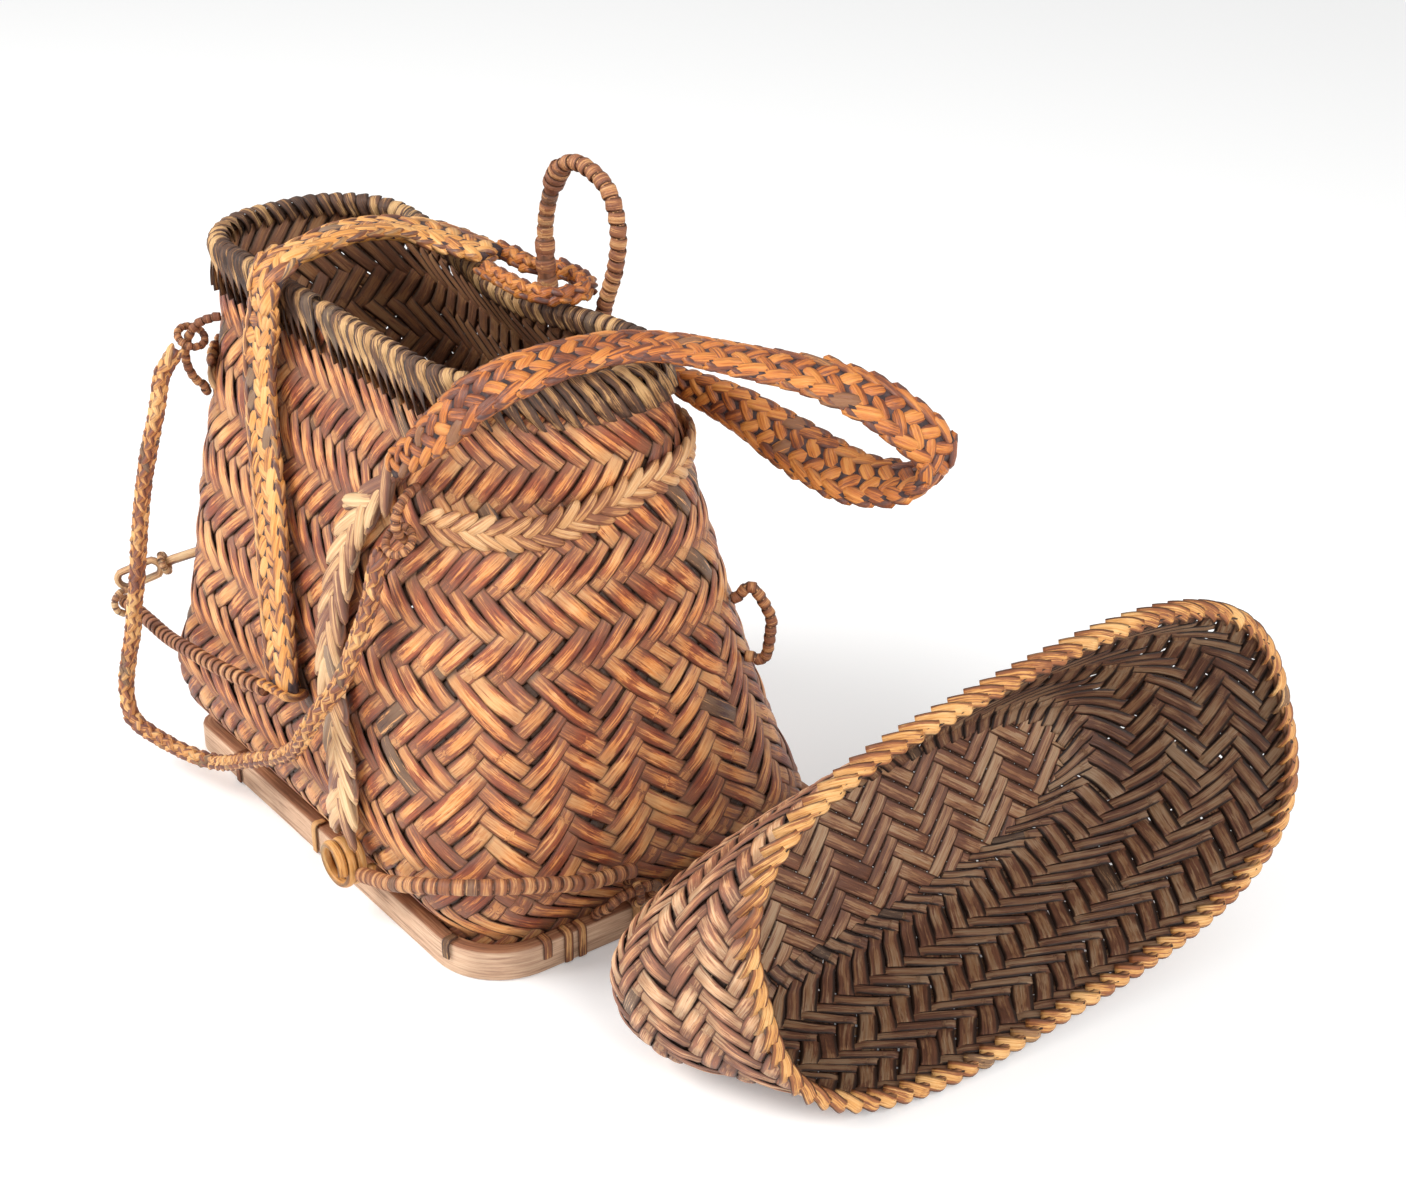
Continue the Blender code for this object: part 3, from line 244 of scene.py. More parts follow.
def tube_faces(strips, rings, sides, closed=False):
    """Faces of several tubes whose points run strip by strip, ring by ring."""
    index = np.arange(strips * rings * sides).reshape(strips, rings, sides)
    low, high = (index, np.roll(index, -1, axis=1)) if closed else (index[:, :-1], index[:, 1:])
    quads = np.stack([low, np.roll(low, -1, 2), np.roll(high, -1, 2), high], axis=-1).reshape(-1, 4).tolist()
    if not closed:
        quads += index[:, 0, ::-1].tolist() + index[:, -1].tolist()
    return quads


def strand(name, path, ups, section, finish, closed=False, widths=None, painted_shade=0.0, tone=None, grain_scale=1.0):
    """One strand: a section of (across, up) points swept along a path.

    Its grain holds the way along it, the place across it and how deep it lies in the weave, which the material paints
    as shade.
    """
    section = np.array(section, float)
    ahead = ahead_of(path, closed)
    across = unit(np.cross(ups, ahead))
    up = np.cross(ahead, across)
    scale = np.ones(len(path)) if widths is None else np.asarray(widths)
    rings = (path[:, None] + across[:, None] * section[None, :, :1] * scale[:, None, None]
             + up[:, None] * section[None, :, 1:] * np.minimum(scale, 1)[:, None, None])
    shape = rings.shape[:2]
    grain = np.stack([np.broadcast_to(travelled(path)[:, None] * grain_scale, shape),
                      np.broadcast_to(section[:, 0] / (2 * np.abs(section[:, 0]).max()), shape),
                      np.full(shape, painted_shade)], axis=-1).reshape(-1, 3)
    tone = random.random() if tone is None else tone
    return mesh_object(name, rings.reshape(-1, 3), tube_faces(1, len(path), len(section), closed), finish,
                       grain=grain, tone=np.full(len(grain), tone))


def round_section(width, height, sides=8):
    """Points of an oval section."""
    return [(width / 2 * cos(2 * pi * i / sides), height / 2 * sin(2 * pi * i / sides)) for i in range(sides)]


def joined(name, parts):
    """Several mesh objects as one, with their materials and attributes."""
    with bpy.context.temp_override(active_object=parts[0], selected_editable_objects=parts):
        bpy.ops.object.join()
    parts[0].name = name
    parts[0].data.name = name
    return parts[0]


def new_tree(name, inputs):
    """A Geometry Nodes tree with a geometry in and out, its named inputs and a finish, and what these give."""
    tree = bpy.data.node_groups.new(name, "GeometryNodeTree")
    for label, kind in {"Geometry": "Geometry", **inputs, "Finish": "Material"}.items():
        tree.interface.new_socket(label, in_out="INPUT", socket_type="NodeSocket" + kind)
    tree.interface.new_socket("Geometry", in_out="OUTPUT", socket_type="NodeSocketGeometry")
    return tree, add(tree, "NodeGroupInput").outputs


def end_tree(tree, geometry, finish):
    """End a tree: all that it laid is made real and takes its finish."""
    real = add(tree, "GeometryNodeRealizeInstances", {0: geometry})
    finished = add(tree, "GeometryNodeSetMaterial", {"Geometry": real, "Material": finish})
    add(tree, "NodeGroupOutput", {0: finished})


# Tree that lays one small shape at each point of a path, turned and sized by the point's own attributes.
piece_layer, given = new_tree("lay_shape_at_points", {"Shape": "Object", "Size": "Float", "Seed": "Int"})
shape_in = add(piece_layer, "GeometryNodeObjectInfo", {"Object": given["Shape"]}).outputs["Geometry"]
turn_in = add(piece_layer, "GeometryNodeInputNamedAttribute", {"Name": "turn"}, data_type="FLOAT_VECTOR")
size_in = add(piece_layer, "GeometryNodeInputNamedAttribute", {"Name": "size"}, data_type="FLOAT_VECTOR")
sized = add(piece_layer, "ShaderNodeVectorMath", {0: size_in, "Scale": given["Size"]}, operation="SCALE")
laid = add(piece_layer, "GeometryNodeInstanceOnPoints",
           {"Points": given["Geometry"], "Instance": shape_in, "Rotation": turn_in, "Scale": sized})
chance = add(piece_layer, "FunctionNodeRandomValue", {"Seed": given["Seed"]})
toned = add(piece_layer, "GeometryNodeStoreNamedAttribute", {"Geometry": laid, "Name": "tone", "Value": chance},
            data_type="FLOAT", domain="INSTANCE")
end_tree(piece_layer, toned, given["Finish"])


def run_tree(piece, tree, values):
    """Give an object a tree with its inputs, and keep the result as its plain mesh."""
    modifier = piece.modifiers.new("lay", "NODES")
    modifier.node_group = tree
    for item in tree.interface.items_tree:
        if item.in_out == "INPUT" and item.name in values:
            modifier[item.identifier] = values[item.name]
    bpy.context.view_layer.update()
    graph = bpy.context.evaluated_depsgraph_get()
    mesh = bpy.data.meshes.new_from_object(piece.evaluated_get(graph))
    piece.modifiers.clear()
    piece.data = mesh
    mesh.name = piece.name
    return piece


def laid_pieces(name, spots, axes, sizes, shape, finish, seed=1):
    """Lay a small shape at points: axes holds each one's along, across and out directions."""
    turns = [tuple(Matrix(rows).transposed().to_euler()) for rows in axes]
    sizes = np.broadcast_to(sizes, (len(spots), 3))
    piece = mesh_object(name, spots, [], None, turn=np.array(turns), size=sizes)
    return run_tree(piece, piece_layer, {"Shape": shape, "Size": 1.0, "Seed": seed, "Finish": finish})


def bare_shape(piece):
    """A small shape without a tone of its own: each place where it is laid gives one."""
    piece.data.attributes.remove(piece.data.attributes["tone"])
    return piece


def upright(count):
    """Straight up, for each point of a path."""
    return np.tile([0.0, 0, 1], (count, 1))


# One float of a plait, one unit long, wide and thick: a crowned strip whose ends dive under its neighbours.
FLOAT_MARKS = (-0.5, -0.44, -0.3, -0.12, 0.12, 0.3, 0.44, 0.5)
FLOAT_WIDTHS = (0.42, 0.74, 0.93, 1.0, 1.0, 0.93, 0.74, 0.42)
FLOAT_DIVE = 3.2
FLOAT_SECTION = ((-0.5, 0.0), (-0.38, 0.30), (0, 0.44), (0.38, 0.30), (0.5, 0.0), (0.3, -0.3), (-0.3, -0.3))
float_path = np.array([(mark, 0, -FLOAT_DIVE * abs(mark) ** 3) for mark in FLOAT_MARKS])
plait_float = bare_shape(strand("plait_float", float_path, upright(len(FLOAT_MARKS)), FLOAT_SECTION, None,
                                widths=FLOAT_WIDTHS, tone=0, grain_scale=0.014))

# One turn of a wrapping, one unit across and wide: a flat strip bent round.
TURN_RADIUS = 0.44
TURN_SECTION = ((-0.5, -0.02), (-0.30, 0.045), (0.30, 0.06), (0.5, 0.0), (0.3, -0.04), (-0.3, -0.04))
turn_path = np.array([(TURN_RADIUS * cos(2 * pi * i / 14), TURN_RADIUS * sin(2 * pi * i / 14), 0)
                      for i in range(14)])
wrap_turn = bare_shape(strand("wrap_turn", turn_path, unit(turn_path), TURN_SECTION, None, closed=True, tone=0,
                              grain_scale=0.008))

FLOAT_LEAN_SPREAD = 0.05
FLOAT_LENGTH_SPREAD = 0.04


def plaited(name, path, ups, pitch, columns, finish, widths=None, seed=1, closing=0.6):
    """Floats of a plait along a path: each column is (side, height, roll, slant, phase, size)."""
    run = travelled(path)
    ahead_all = ahead_of(path)
    widths = np.ones(len(path)) if widths is None else np.asarray(widths)
    spots, axes, sizes = [], [], []
    for side, height, roll, slant, phase, size in columns:
        reach = size[0] * 0.5 * abs(cos(slant)) * closing
        marks = np.arange(reach + phase * pitch, run[-1] - reach, pitch)
        centre = at_marks(marks, run, path)
        ahead = unit(at_marks(marks, run, ahead_all))
        across = unit(np.cross(at_marks(marks, run, ups), ahead))
        up = np.cross(ahead, across)
        scale = np.interp(marks, run, widths)[:, None]
        out = up * cos(roll) + across * sin(roll)
        beside = np.cross(out, ahead)
        lean = slant + random.normal(0, FLOAT_LEAN_SPREAD, len(marks))[:, None]
        along = ahead * np.cos(lean) + beside * np.sin(lean)
        spots.append(centre + across * side * scale + up * height)
        axes.append(np.stack([along, np.cross(out, along), out], axis=1))
        jitter = 1 + random.normal(0, FLOAT_LENGTH_SPREAD, (len(marks), 1))
        sizes.append(np.array(size) * np.hstack([jitter * (0.45 + 0.55 * scale), scale, np.ones_like(scale)]))
    return laid_pieces(name, np.vstack(spots), np.vstack(axes), np.vstack(sizes), plait_float, finish, seed)


WRAP_CORE = 0.84
WRAP_TILT = 0.16
WRAP_TILT_SPREAD = 0.03


def wound(name, path, diameter, pitch, finish, closed=False, seed=1):
    """A cord or loop wrapped with a flat strip: a core and tilted turns at an even pitch."""
    ups = carried_up(path, closed)
    aheads = ahead_of(path, closed)
    core = strand(name + "_core", path, ups, round_section(diameter * WRAP_CORE, diameter * WRAP_CORE, 10), finish,
                  closed)
    if closed:
        path, ups, aheads = [np.vstack([rows, rows[:1]]) for rows in (path, ups, aheads)]
    run = travelled(path)
    count = max(int(run[-1] / pitch), 2)
    marks = (np.arange(count) + 0.5) * run[-1] / count
    centre, up, ahead = [at_marks(marks, run, rows) for rows in (path, ups, aheads)]
    up, ahead = unit(up), unit(ahead)
    across = unit(np.cross(up, ahead))
    tilt = WRAP_TILT + random.normal(0, WRAP_TILT_SPREAD, len(marks))[:, None]
    axis = unit(ahead * np.cos(tilt) + across * np.sin(tilt))
    side = unit(np.cross(up, axis))
    wraps = laid_pieces(name + "_wraps", centre, np.stack([side, np.cross(axis, side), axis], axis=1),
                        (diameter * 0.97, diameter * 0.97, pitch * 1.04), wrap_turn, finish, seed)
    return joined(name, [wraps, core])


# Split rattan: hard, satin golden cane, split, shaved and plaited by hand, with an IOR and gloss like those of wood.
# Its fibres show as streaks about 1 mm wide and 17 mm long, and its wear as clouds about 24 mm across.
STREAKS_PER_METRE = 60.0
CLOUDS_PER_METRE = 42.0
OLD_TONE = 0.955
# Grain depth from which painted shade for strips passing under others begins.
BURIED_SHADE_FROM = 1.05


def rattan(name, tones, aged, peeled=0.66, gloss=0.45, fibre=9.0, groove_dirt_and_shade="#2B1810", spread=0.2, deep_shade_colour="#4A3626"):
    """Split rattan in four tones, dark bark, bark, gold and pale, and the colour of its few old, grey strips.

    The middle of each strip is rubbed bare to gold. Its edges keep brown bark and dirt, with painted shade where
    strips meet;
    its underside, the ends of its floats and what lies deep in the weave are painted dark as shade.
    """
    dark, mid, gold, pale = tones
    made, tree, shader = surface(name)
    grain = add(tree, "ShaderNodeAttribute", attribute_name="grain").outputs["Vector"]
    tone = add(tree, "ShaderNodeAttribute", attribute_name="tone").outputs["Fac"]
    place = add(tree, "ShaderNodeTexCoord").outputs["Object"]
    split = add(tree, "ShaderNodeSeparateXYZ", {0: grain}).outputs
    far = add(tree, "ShaderNodeMath", {0: tone, 1: 37.0}, operation="MULTIPLY")
    lengthwise = add(tree, "ShaderNodeMath", {0: split["X"], 1: STREAKS_PER_METRE}, operation="MULTIPLY")
    crosswise = add(tree, "ShaderNodeMath", {0: split["Y"], 1: fibre}, operation="MULTIPLY")
    lane = add(tree, "ShaderNodeCombineXYZ", {"X": lengthwise, "Y": crosswise, "Z": far})
    fibres = add(tree, "ShaderNodeTexNoise", {"Vector": lane, "Scale": 1.0, "Detail": 4.0, "Roughness": 0.65})
    cloud = add(tree, "ShaderNodeTexNoise", {"Vector": place, "Scale": CLOUDS_PER_METRE, "Detail": 3.0,
                                             "Distortion": 0.5})
    shade = add(tree, "ShaderNodeMath", {0: tone, 1: spread, 2: -spread / 2}, operation="MULTIPLY_ADD")
    wide = add(tree, "ShaderNodeMath", {0: cloud, 1: 0.45, 2: -0.22}, operation="MULTIPLY_ADD")
    shade = add(tree, "ShaderNodeMath", {0: shade, 1: wide}, operation="ADD")
    mixed = add(tree, "ShaderNodeMath", {0: fibres, 1: shade}, operation="ADD")
    bark = add(tree, "ShaderNodeValToRGB", {0: mixed}, ((0.30, dark), (0.66, mid)))
    bare = add(tree, "ShaderNodeValToRGB", {0: mixed}, ((0.30, mid), (0.46, gold), (0.68, pale)))
    side = add(tree, "ShaderNodeMath", {0: split["Y"]}, operation="ABSOLUTE")
    middle = add(tree, "ShaderNodeMath", {0: side, 1: -0.42, 2: 0.21}, operation="MULTIPLY_ADD")
    torn = add(tree, "ShaderNodeTexNoise", {"Vector": lane, "Scale": 0.6, "Detail": 5.0, "Roughness": 0.7})
    rub = add(tree, "ShaderNodeMath", {0: torn, 1: middle}, operation="ADD")
    rub = add(tree, "ShaderNodeMath", {0: rub, 1: shade}, operation="ADD")
    rubbed = add(tree, "ShaderNodeMapRange", {"Value": rub, "From Min": peeled, "From Max": peeled + 0.06})
    colour = add(tree, "ShaderNodeMix", {"Factor": rubbed, "A": bark, "B": bare}, data_type="RGBA")
    old = add(tree, "ShaderNodeMapRange", {"Value": tone, "From Min": OLD_TONE, "From Max": OLD_TONE + 0.01,
                                           "To Max": 0.85})
    kept = add(tree, "ShaderNodeMapRange", {"Value": torn, "From Min": 0.56, "From Max": 0.60, "To Min": 1.0,
                                            "To Max": 0.0})
    old = add(tree, "ShaderNodeMath", {0: old, 1: kept}, operation="MULTIPLY")
    # Strip edges: real dirt and painted shade where strips meet, mixed in the dark gap colour.
    edge_dirt_and_shade = add(tree, "ShaderNodeMapRange", {"Value": side, "From Min": 0.33, "From Max": 0.5, "To Max": 0.75})
    # Painted shade: the underside of each strip, the ends of its floats and what lies deep in the weave, by the
    # grain's third value.
    deep = add(tree, "ShaderNodeMath", {0: split["Z"], 1: 0.66}, operation="MULTIPLY")
    # Painted shade: stretches of strip that pass under others fade to the dark gap colour.
    buried = add(tree, "ShaderNodeMapRange", {"Value": split["Z"], "From Min": BURIED_SHADE_FROM, "From Max": 2.0,
                                              "To Max": 0.85})
    for amount, over in ((old, aged), (edge_dirt_and_shade, groove_dirt_and_shade), (deep, deep_shade_colour), (buried, groove_dirt_and_shade)):
        colour = add(tree, "ShaderNodeMix", {"Factor": amount, "A": colour, "B": linear(over)}, data_type="RGBA")
    rough = add(tree, "ShaderNodeMapRange", {"Value": fibres, "From Min": 0.3, "From Max": 0.7, "To Min": gloss,
                                             "To Max": gloss + 0.25})
    relief = add(tree, "ShaderNodeBump", {"Height": fibres, "Strength": 0.8, "Distance": 0.0012})
    feed(tree, shader, {"Base Color": colour, "Roughness": rough, "Normal": relief})
    return made


def dress(piece, body, slot, *nodes):
    """Say which body a piece rides on and which nodes it stands for, and hide those nodes. The slot is not used."""
    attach(piece, body)
    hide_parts(*nodes)


# Plaited and handled for years: satin golden brown, its edges darker with dirt and with painted shade where the
# strands meet.
rope_rattan = rattan("plaited_rattan_rope", ("#7C4A3A", "#B06C42", "#DC9A58", "#EEBE80"), "#5E463C", 0.58, 0.4,
                     groove_dirt_and_shade="#4E3A3C")
rope_path = smooth_path(np.array(ROPE_ROUTE) + HOME, 0.003)
rope_ups = carried_up(rope_path)
STRAND_OFF = 0.0020
round_columns = []
for i in range(4):
    roll = pi / 4 + i * pi / 2
    round_columns.append((STRAND_OFF * sin(roll), STRAND_OFF * cos(roll), roll, 0.5 * (-1) ** i, 0.5 * (i % 2),
                          (0.0108, 0.0052, 0.0042)))
rope_floats = plaited("lid_rope_floats", rope_path, rope_ups, ROPE_PITCH, round_columns, rope_rattan, seed=3,
                      closing=1.0)
rope_core = strand("lid_rope_core", rope_path, rope_ups, round_section(ROPE_CORE, ROPE_CORE), rope_rattan, tone=0.2)
lid_rope = joined("plaited_lid_rope", [rope_floats, rope_core])
dress(lid_rope, "basket", "rattan_cord", "lid_tie_rope")

# Base frame: one bent band of hardwood set on edge, pale and grained, its top face redder from wear.
# The basket stands in it and is lashed to it.
BASE_LENGTH = 0.300
BASE_WIDTH = 0.234
BASE_HEIGHT = 0.017
BASE_THICKNESS = 0.008
HALF_LENGTH = BASE_LENGTH / 2
HALF_WIDTH = BASE_WIDTH / 2
BASE_CORNERS = (0.038, 0.028, 0.028, 0.012)


def rounded_outline(half_x, half_y, corners):
    """Counter-clockwise outline from the middle of the near side."""
    places = ((1, -1, -90), (1, 1, 0), (-1, 1, 90), (-1, -1, 180))
    points = [(0, -half_y)]
    for (side_x, side_y, start), radius in zip(places, corners):
        for turn in np.radians(start + np.linspace(0, 90, 25)):
            points.append((side_x * (half_x - radius) + radius * cos(turn),
                           side_y * (half_y - radius) + radius * sin(turn)))
    points.append((0, -half_y))
    return np.array(points)


def along_outline(points, arounds):
    """Points at shares of an outline's length, and their outward directions."""
    run = travelled(points)
    place = (np.asarray(arounds) % 1.0) * run[-1]
    near = run[-1] / 400
    back, here, front = [at_marks(place + shift, run, points) for shift in (-near, 0, near)]
    along = unit(front - back)
    return here, np.stack([along[:, 1], -along[:, 0]], axis=1), run[-1]


def base_point(around, inward, height):
    """Point on the base frame's outline, moved in from its outer face."""
    flat, outward, length = along_outline(rounded_outline(HALF_LENGTH, HALF_WIDTH, BASE_CORNERS), [around])
    return np.array([*(flat[0] - inward * outward[0]), height]) + HOME


def bent_wood():
    """Steam-bent hardwood, bare and worn: matt, with long pale grain and darker pores, redder on its top face.

    Its grain lines are about 1.5 mm apart and 36 mm long, a little coarser than real ones so that they show.
    """
    made, tree, shader = surface("bare_bent_hardwood")
    grain = add(tree, "ShaderNodeAttribute", attribute_name="grain").outputs["Vector"]
    split = add(tree, "ShaderNodeSeparateXYZ", {0: grain}).outputs
    lengthwise = add(tree, "ShaderNodeMath", {0: split["X"], 1: 28.0}, operation="MULTIPLY")
    lane = add(tree, "ShaderNodeCombineXYZ", {"X": lengthwise, "Y": split["Y"], "Z": split["Z"]})
    stretch = add(tree, "ShaderNodeMapping", {"Vector": lane, "Scale": (1.0, 16.0, 3.0)})
    lines = add(tree, "ShaderNodeTexNoise", {"Vector": stretch, "Scale": 1.0, "Detail": 5.0, "Roughness": 0.7,
                                             "Distortion": 0.3})
    place = add(tree, "ShaderNodeTexCoord").outputs["Object"]
    cloud = add(tree, "ShaderNodeTexNoise", {"Vector": place, "Scale": 18.0, "Detail": 3.0})
    pale = add(tree, "ShaderNodeValToRGB", {0: lines}, ((0.32, "#9A7660"), (0.48, "#D0AA8C"), (0.70, "#E8CAAA")))
    red = add(tree, "ShaderNodeValToRGB", {0: lines}, ((0.30, "#6A4230"), (0.52, "#A06C4C"), (0.74, "#C69870")))
    top = add(tree, "ShaderNodeMix", {"Factor": split["Z"], "A": pale, "B": red}, data_type="RGBA")
    dirt = add(tree, "ShaderNodeMapRange", {"Value": cloud, "From Min": 0.52, "From Max": 0.72, "To Max": 0.45})
    worn = add(tree, "ShaderNodeMix", {"Factor": dirt, "A": top, "B": linear("#6A4A34")}, data_type="RGBA")
    rough = add(tree, "ShaderNodeMapRange", {"Value": lines, "To Min": 0.8, "To Max": 0.55})
    relief = add(tree, "ShaderNodeBump", {"Height": lines, "Strength": 0.5, "Distance": 0.0006})
    feed(tree, shader, {"Base Color": worn, "Roughness": rough, "Normal": relief})
    return made


BAND_TOP = 0.0165
BAND_SHOULDER = 0.0156
band_section = ((0, 0.0006), (0, BAND_SHOULDER), (0.0004, BAND_TOP), (0.0013, BASE_HEIGHT), (0.0067, BASE_HEIGHT),
                (0.0076, BAND_TOP), (BASE_THICKNESS, BAND_SHOULDER), (BASE_THICKNESS, 0.0006), (0.0074, 0),
                (0.0006, 0))
BAND_RINGS = 200
frame_flat, frame_out, frame_length = along_outline(rounded_outline(HALF_LENGTH, HALF_WIDTH, BASE_CORNERS),
                                                    np.arange(BAND_RINGS) / BAND_RINGS)
band_rings = np.array([[[*(flat - inward * out), height] for inward, height in band_section]
                       for flat, out in zip(frame_flat, frame_out)]) + HOME
band_grain = np.array([[[frame_length * i / BAND_RINGS, (inward + height) * 40, float(height >= BAND_TOP)]
                        for inward, height in band_section] for i in range(BAND_RINGS)]).reshape(-1, 3)
base_band = mesh_object("bent_wood_base_band", band_rings.reshape(-1, 3),
                        tube_faces(1, BAND_RINGS, len(band_section), True), bent_wood(), grain=band_grain)
dress(base_band, "basket", "bent_wood", "base_frame")

# Body: split rattan strips about 10 mm wide, plaited on the bias, over three and under three.
# Each strip is a real ribbon, laid on the wall's shape, so that the weave is open at its corners.
BASKET_HEIGHT = 0.303
WALL = 0.0035
BODY_LIFT = 0.004
MOUTH_DENT = 0.011
MOUTH_DIP = 0.007
DENT_REACH = 0.065
DENT_PLACE = 0.010
SECTION_ROWS = np.array((
    (0.013, 0.927, 0.906, 0.291, 0.222, 0.205, 0.120, -0.007, -0.009),
    (0.0591, 0.940, 0.923, 0.299, 0.239, 0.222, 0.137, -0.007, -0.009),
    (0.116, 1.007, 0.991, 0.376, 0.444, 0.291, 0.120, -0.020, -0.051),
    (0.198, 1.020, 0.991, 0.462, 0.615, 0.359, 0.154, -0.027, -0.094),
    (0.330, 1.007, 0.940, 0.564, 0.667, 0.427, 0.393, -0.027, -0.137),
    (0.462, 1.000, 0.855, 0.650, 0.598, 0.462, 0.470, -0.020, -0.197),
    (0.594, 0.993, 0.752, 0.718, 0.496, 0.462, 0.444, -0.020, -0.231),
    (0.710, 0.987, 0.658, 0.735, 0.444, 0.444, 0.427, -0.020, -0.248),
    (0.809, 0.980, 0.573, 0.718, 0.393, 0.410, 0.393, -0.027, -0.248),
    (0.891, 0.980, 0.504, 0.667, 0.342, 0.376, 0.359, -0.033, -0.274),
    (1.000, 0.987, 0.453, 0.632, 0.291, 0.393, 0.376, -0.033, -0.325),
))
STRIPS_AROUND = 66
STRIP_RISE = 0.0135
STRIP_THICKNESS = 0.0014
STRIP_FILL = 0.985


def wall_row(height, arounds, off=0.0):
    """Points of the body's outer face at one height, their outward directions and the length round."""
    share = min(max(height / BASKET_HEIGHT, SECTION_ROWS[0, 0]), 1.0)
    long_share, wide_share, *corners, shift_x, shift_y = [
        np.interp(share, SECTION_ROWS[:, 0], SECTION_ROWS[:, i]) for i in range(1, 9)]
    half_y = wide_share * HALF_WIDTH
    corners = [value * HALF_WIDTH for value in corners]
    corners[0] = min(corners[0], 2 * half_y - corners[1] - WALL)
    flat, outward, length = along_outline(rounded_outline(long_share * HALF_LENGTH, half_y, corners), arounds)
    far = np.clip(flat[:, 1] / half_y, 0, 1)
    press = far * np.exp(-((flat[:, 0] - DENT_PLACE) / DENT_REACH) ** 2) * share ** 5
    x = flat[:, 0] + shift_x * HALF_LENGTH + off * outward[:, 0]
    y = flat[:, 1] + shift_y * HALF_WIDTH - MOUTH_DENT * press + off * outward[:, 1]
    points = np.stack([x, y, height - MOUTH_DIP * press], axis=1) + HOME
    return points, np.hstack([outward, np.zeros((len(outward), 1))]), length


def skin(around, height, off=0.0):
    """Point of the body's outer face, or off it."""
    return wall_row(height, [around], off)[0][0]


def level(share):
    """Height at a share of the basket's height."""
    return share * BASKET_HEIGHT


# Tree that lays a flat mesh on a wall: X and Y are places on the wall's own map, Z stands out from it.
wall_layer, given = new_tree("lay_strips_on_wall", {"Wall": "Object", "Stand off": "Float"})
wall_in = add(wall_layer, "GeometryNodeObjectInfo", {"Object": given["Wall"]}).outputs["Geometry"]
flat_map = add(wall_layer, "GeometryNodeInputNamedAttribute", {"Name": "flat"}, data_type="FLOAT_VECTOR")
out_map = add(wall_layer, "GeometryNodeInputNamedAttribute", {"Name": "out"}, data_type="FLOAT_VECTOR")
here = add(wall_layer, "GeometryNodeInputPosition")
parts = add(wall_layer, "ShaderNodeSeparateXYZ", {0: here}).outputs
where = add(wall_layer, "ShaderNodeCombineXYZ", {"X": parts["X"], "Y": parts["Y"]})
on_wall, off_wall = [
    add(wall_layer, "GeometryNodeSampleUVSurface",
        {"Mesh": wall_in, "Value": value, "Source UV Map": flat_map, "Sample UV": where}, data_type="FLOAT_VECTOR")
    for value in (here, out_map)]
lift = add(wall_layer, "ShaderNodeMath", {0: parts["Z"], 1: given["Stand off"]}, operation="ADD")
stood = add(wall_layer, "ShaderNodeVectorMath", {0: off_wall, "Scale": lift}, operation="SCALE")
total = add(wall_layer, "ShaderNodeVectorMath", {0: on_wall, 1: stood}, operation="ADD")
moved = add(wall_layer, "GeometryNodeSetPosition", {"Geometry": given["Geometry"], "Position": total})
end_tree(wall_layer, moved, given["Finish"])
MAP_START = 0.5
MAP_SPAN = 2.0
MAP_SCALE = 0.4
WALL_ROUND = 513


def guide_wall(name, rows):
    """Hidden wall that strips are laid on: rows of (map height, points, outward directions), u from -0.5 to 1.5."""
    points = np.array([row[1] for row in rows])
    outs = np.array([row[2] for row in rows])
    high, wide = points.shape[:2]
    flat = np.array([[(u, row[0], 0) for u in np.linspace(0, 1, wide)] for row in rows])
    index = np.arange(high * wide).reshape(high, wide)
    faces = np.stack([index[:-1, :-1], index[:-1, 1:], index[1:, 1:], index[1:, :-1]], -1).reshape(-1, 4).tolist()
    mesh = bpy.data.meshes.new(name)
    mesh.from_pydata(points.reshape(-1, 3), [], faces)
    for label, data in (("flat", flat), ("out", outs)):
        mesh.attributes.new(label, "FLOAT_VECTOR", "POINT").data.foreach_set("vector", data.ravel())
    return linked(name, mesh)


STRIP_SECTION = np.array(((-0.5, -0.12), (-0.34, 0.30), (0.0, 0.52), (0.34, 0.30), (0.5, -0.12), (0.28, -0.42),
                          (-0.28, -0.42)))
STRIP_STAND_OFF = -0.0014
WEAVE_LIFT = 0.52
CROWN_LIFT = 0.55
STRIP_STEP = 0.125
FLOAT_RISES = 3
OLD_FLOATS = 0.975


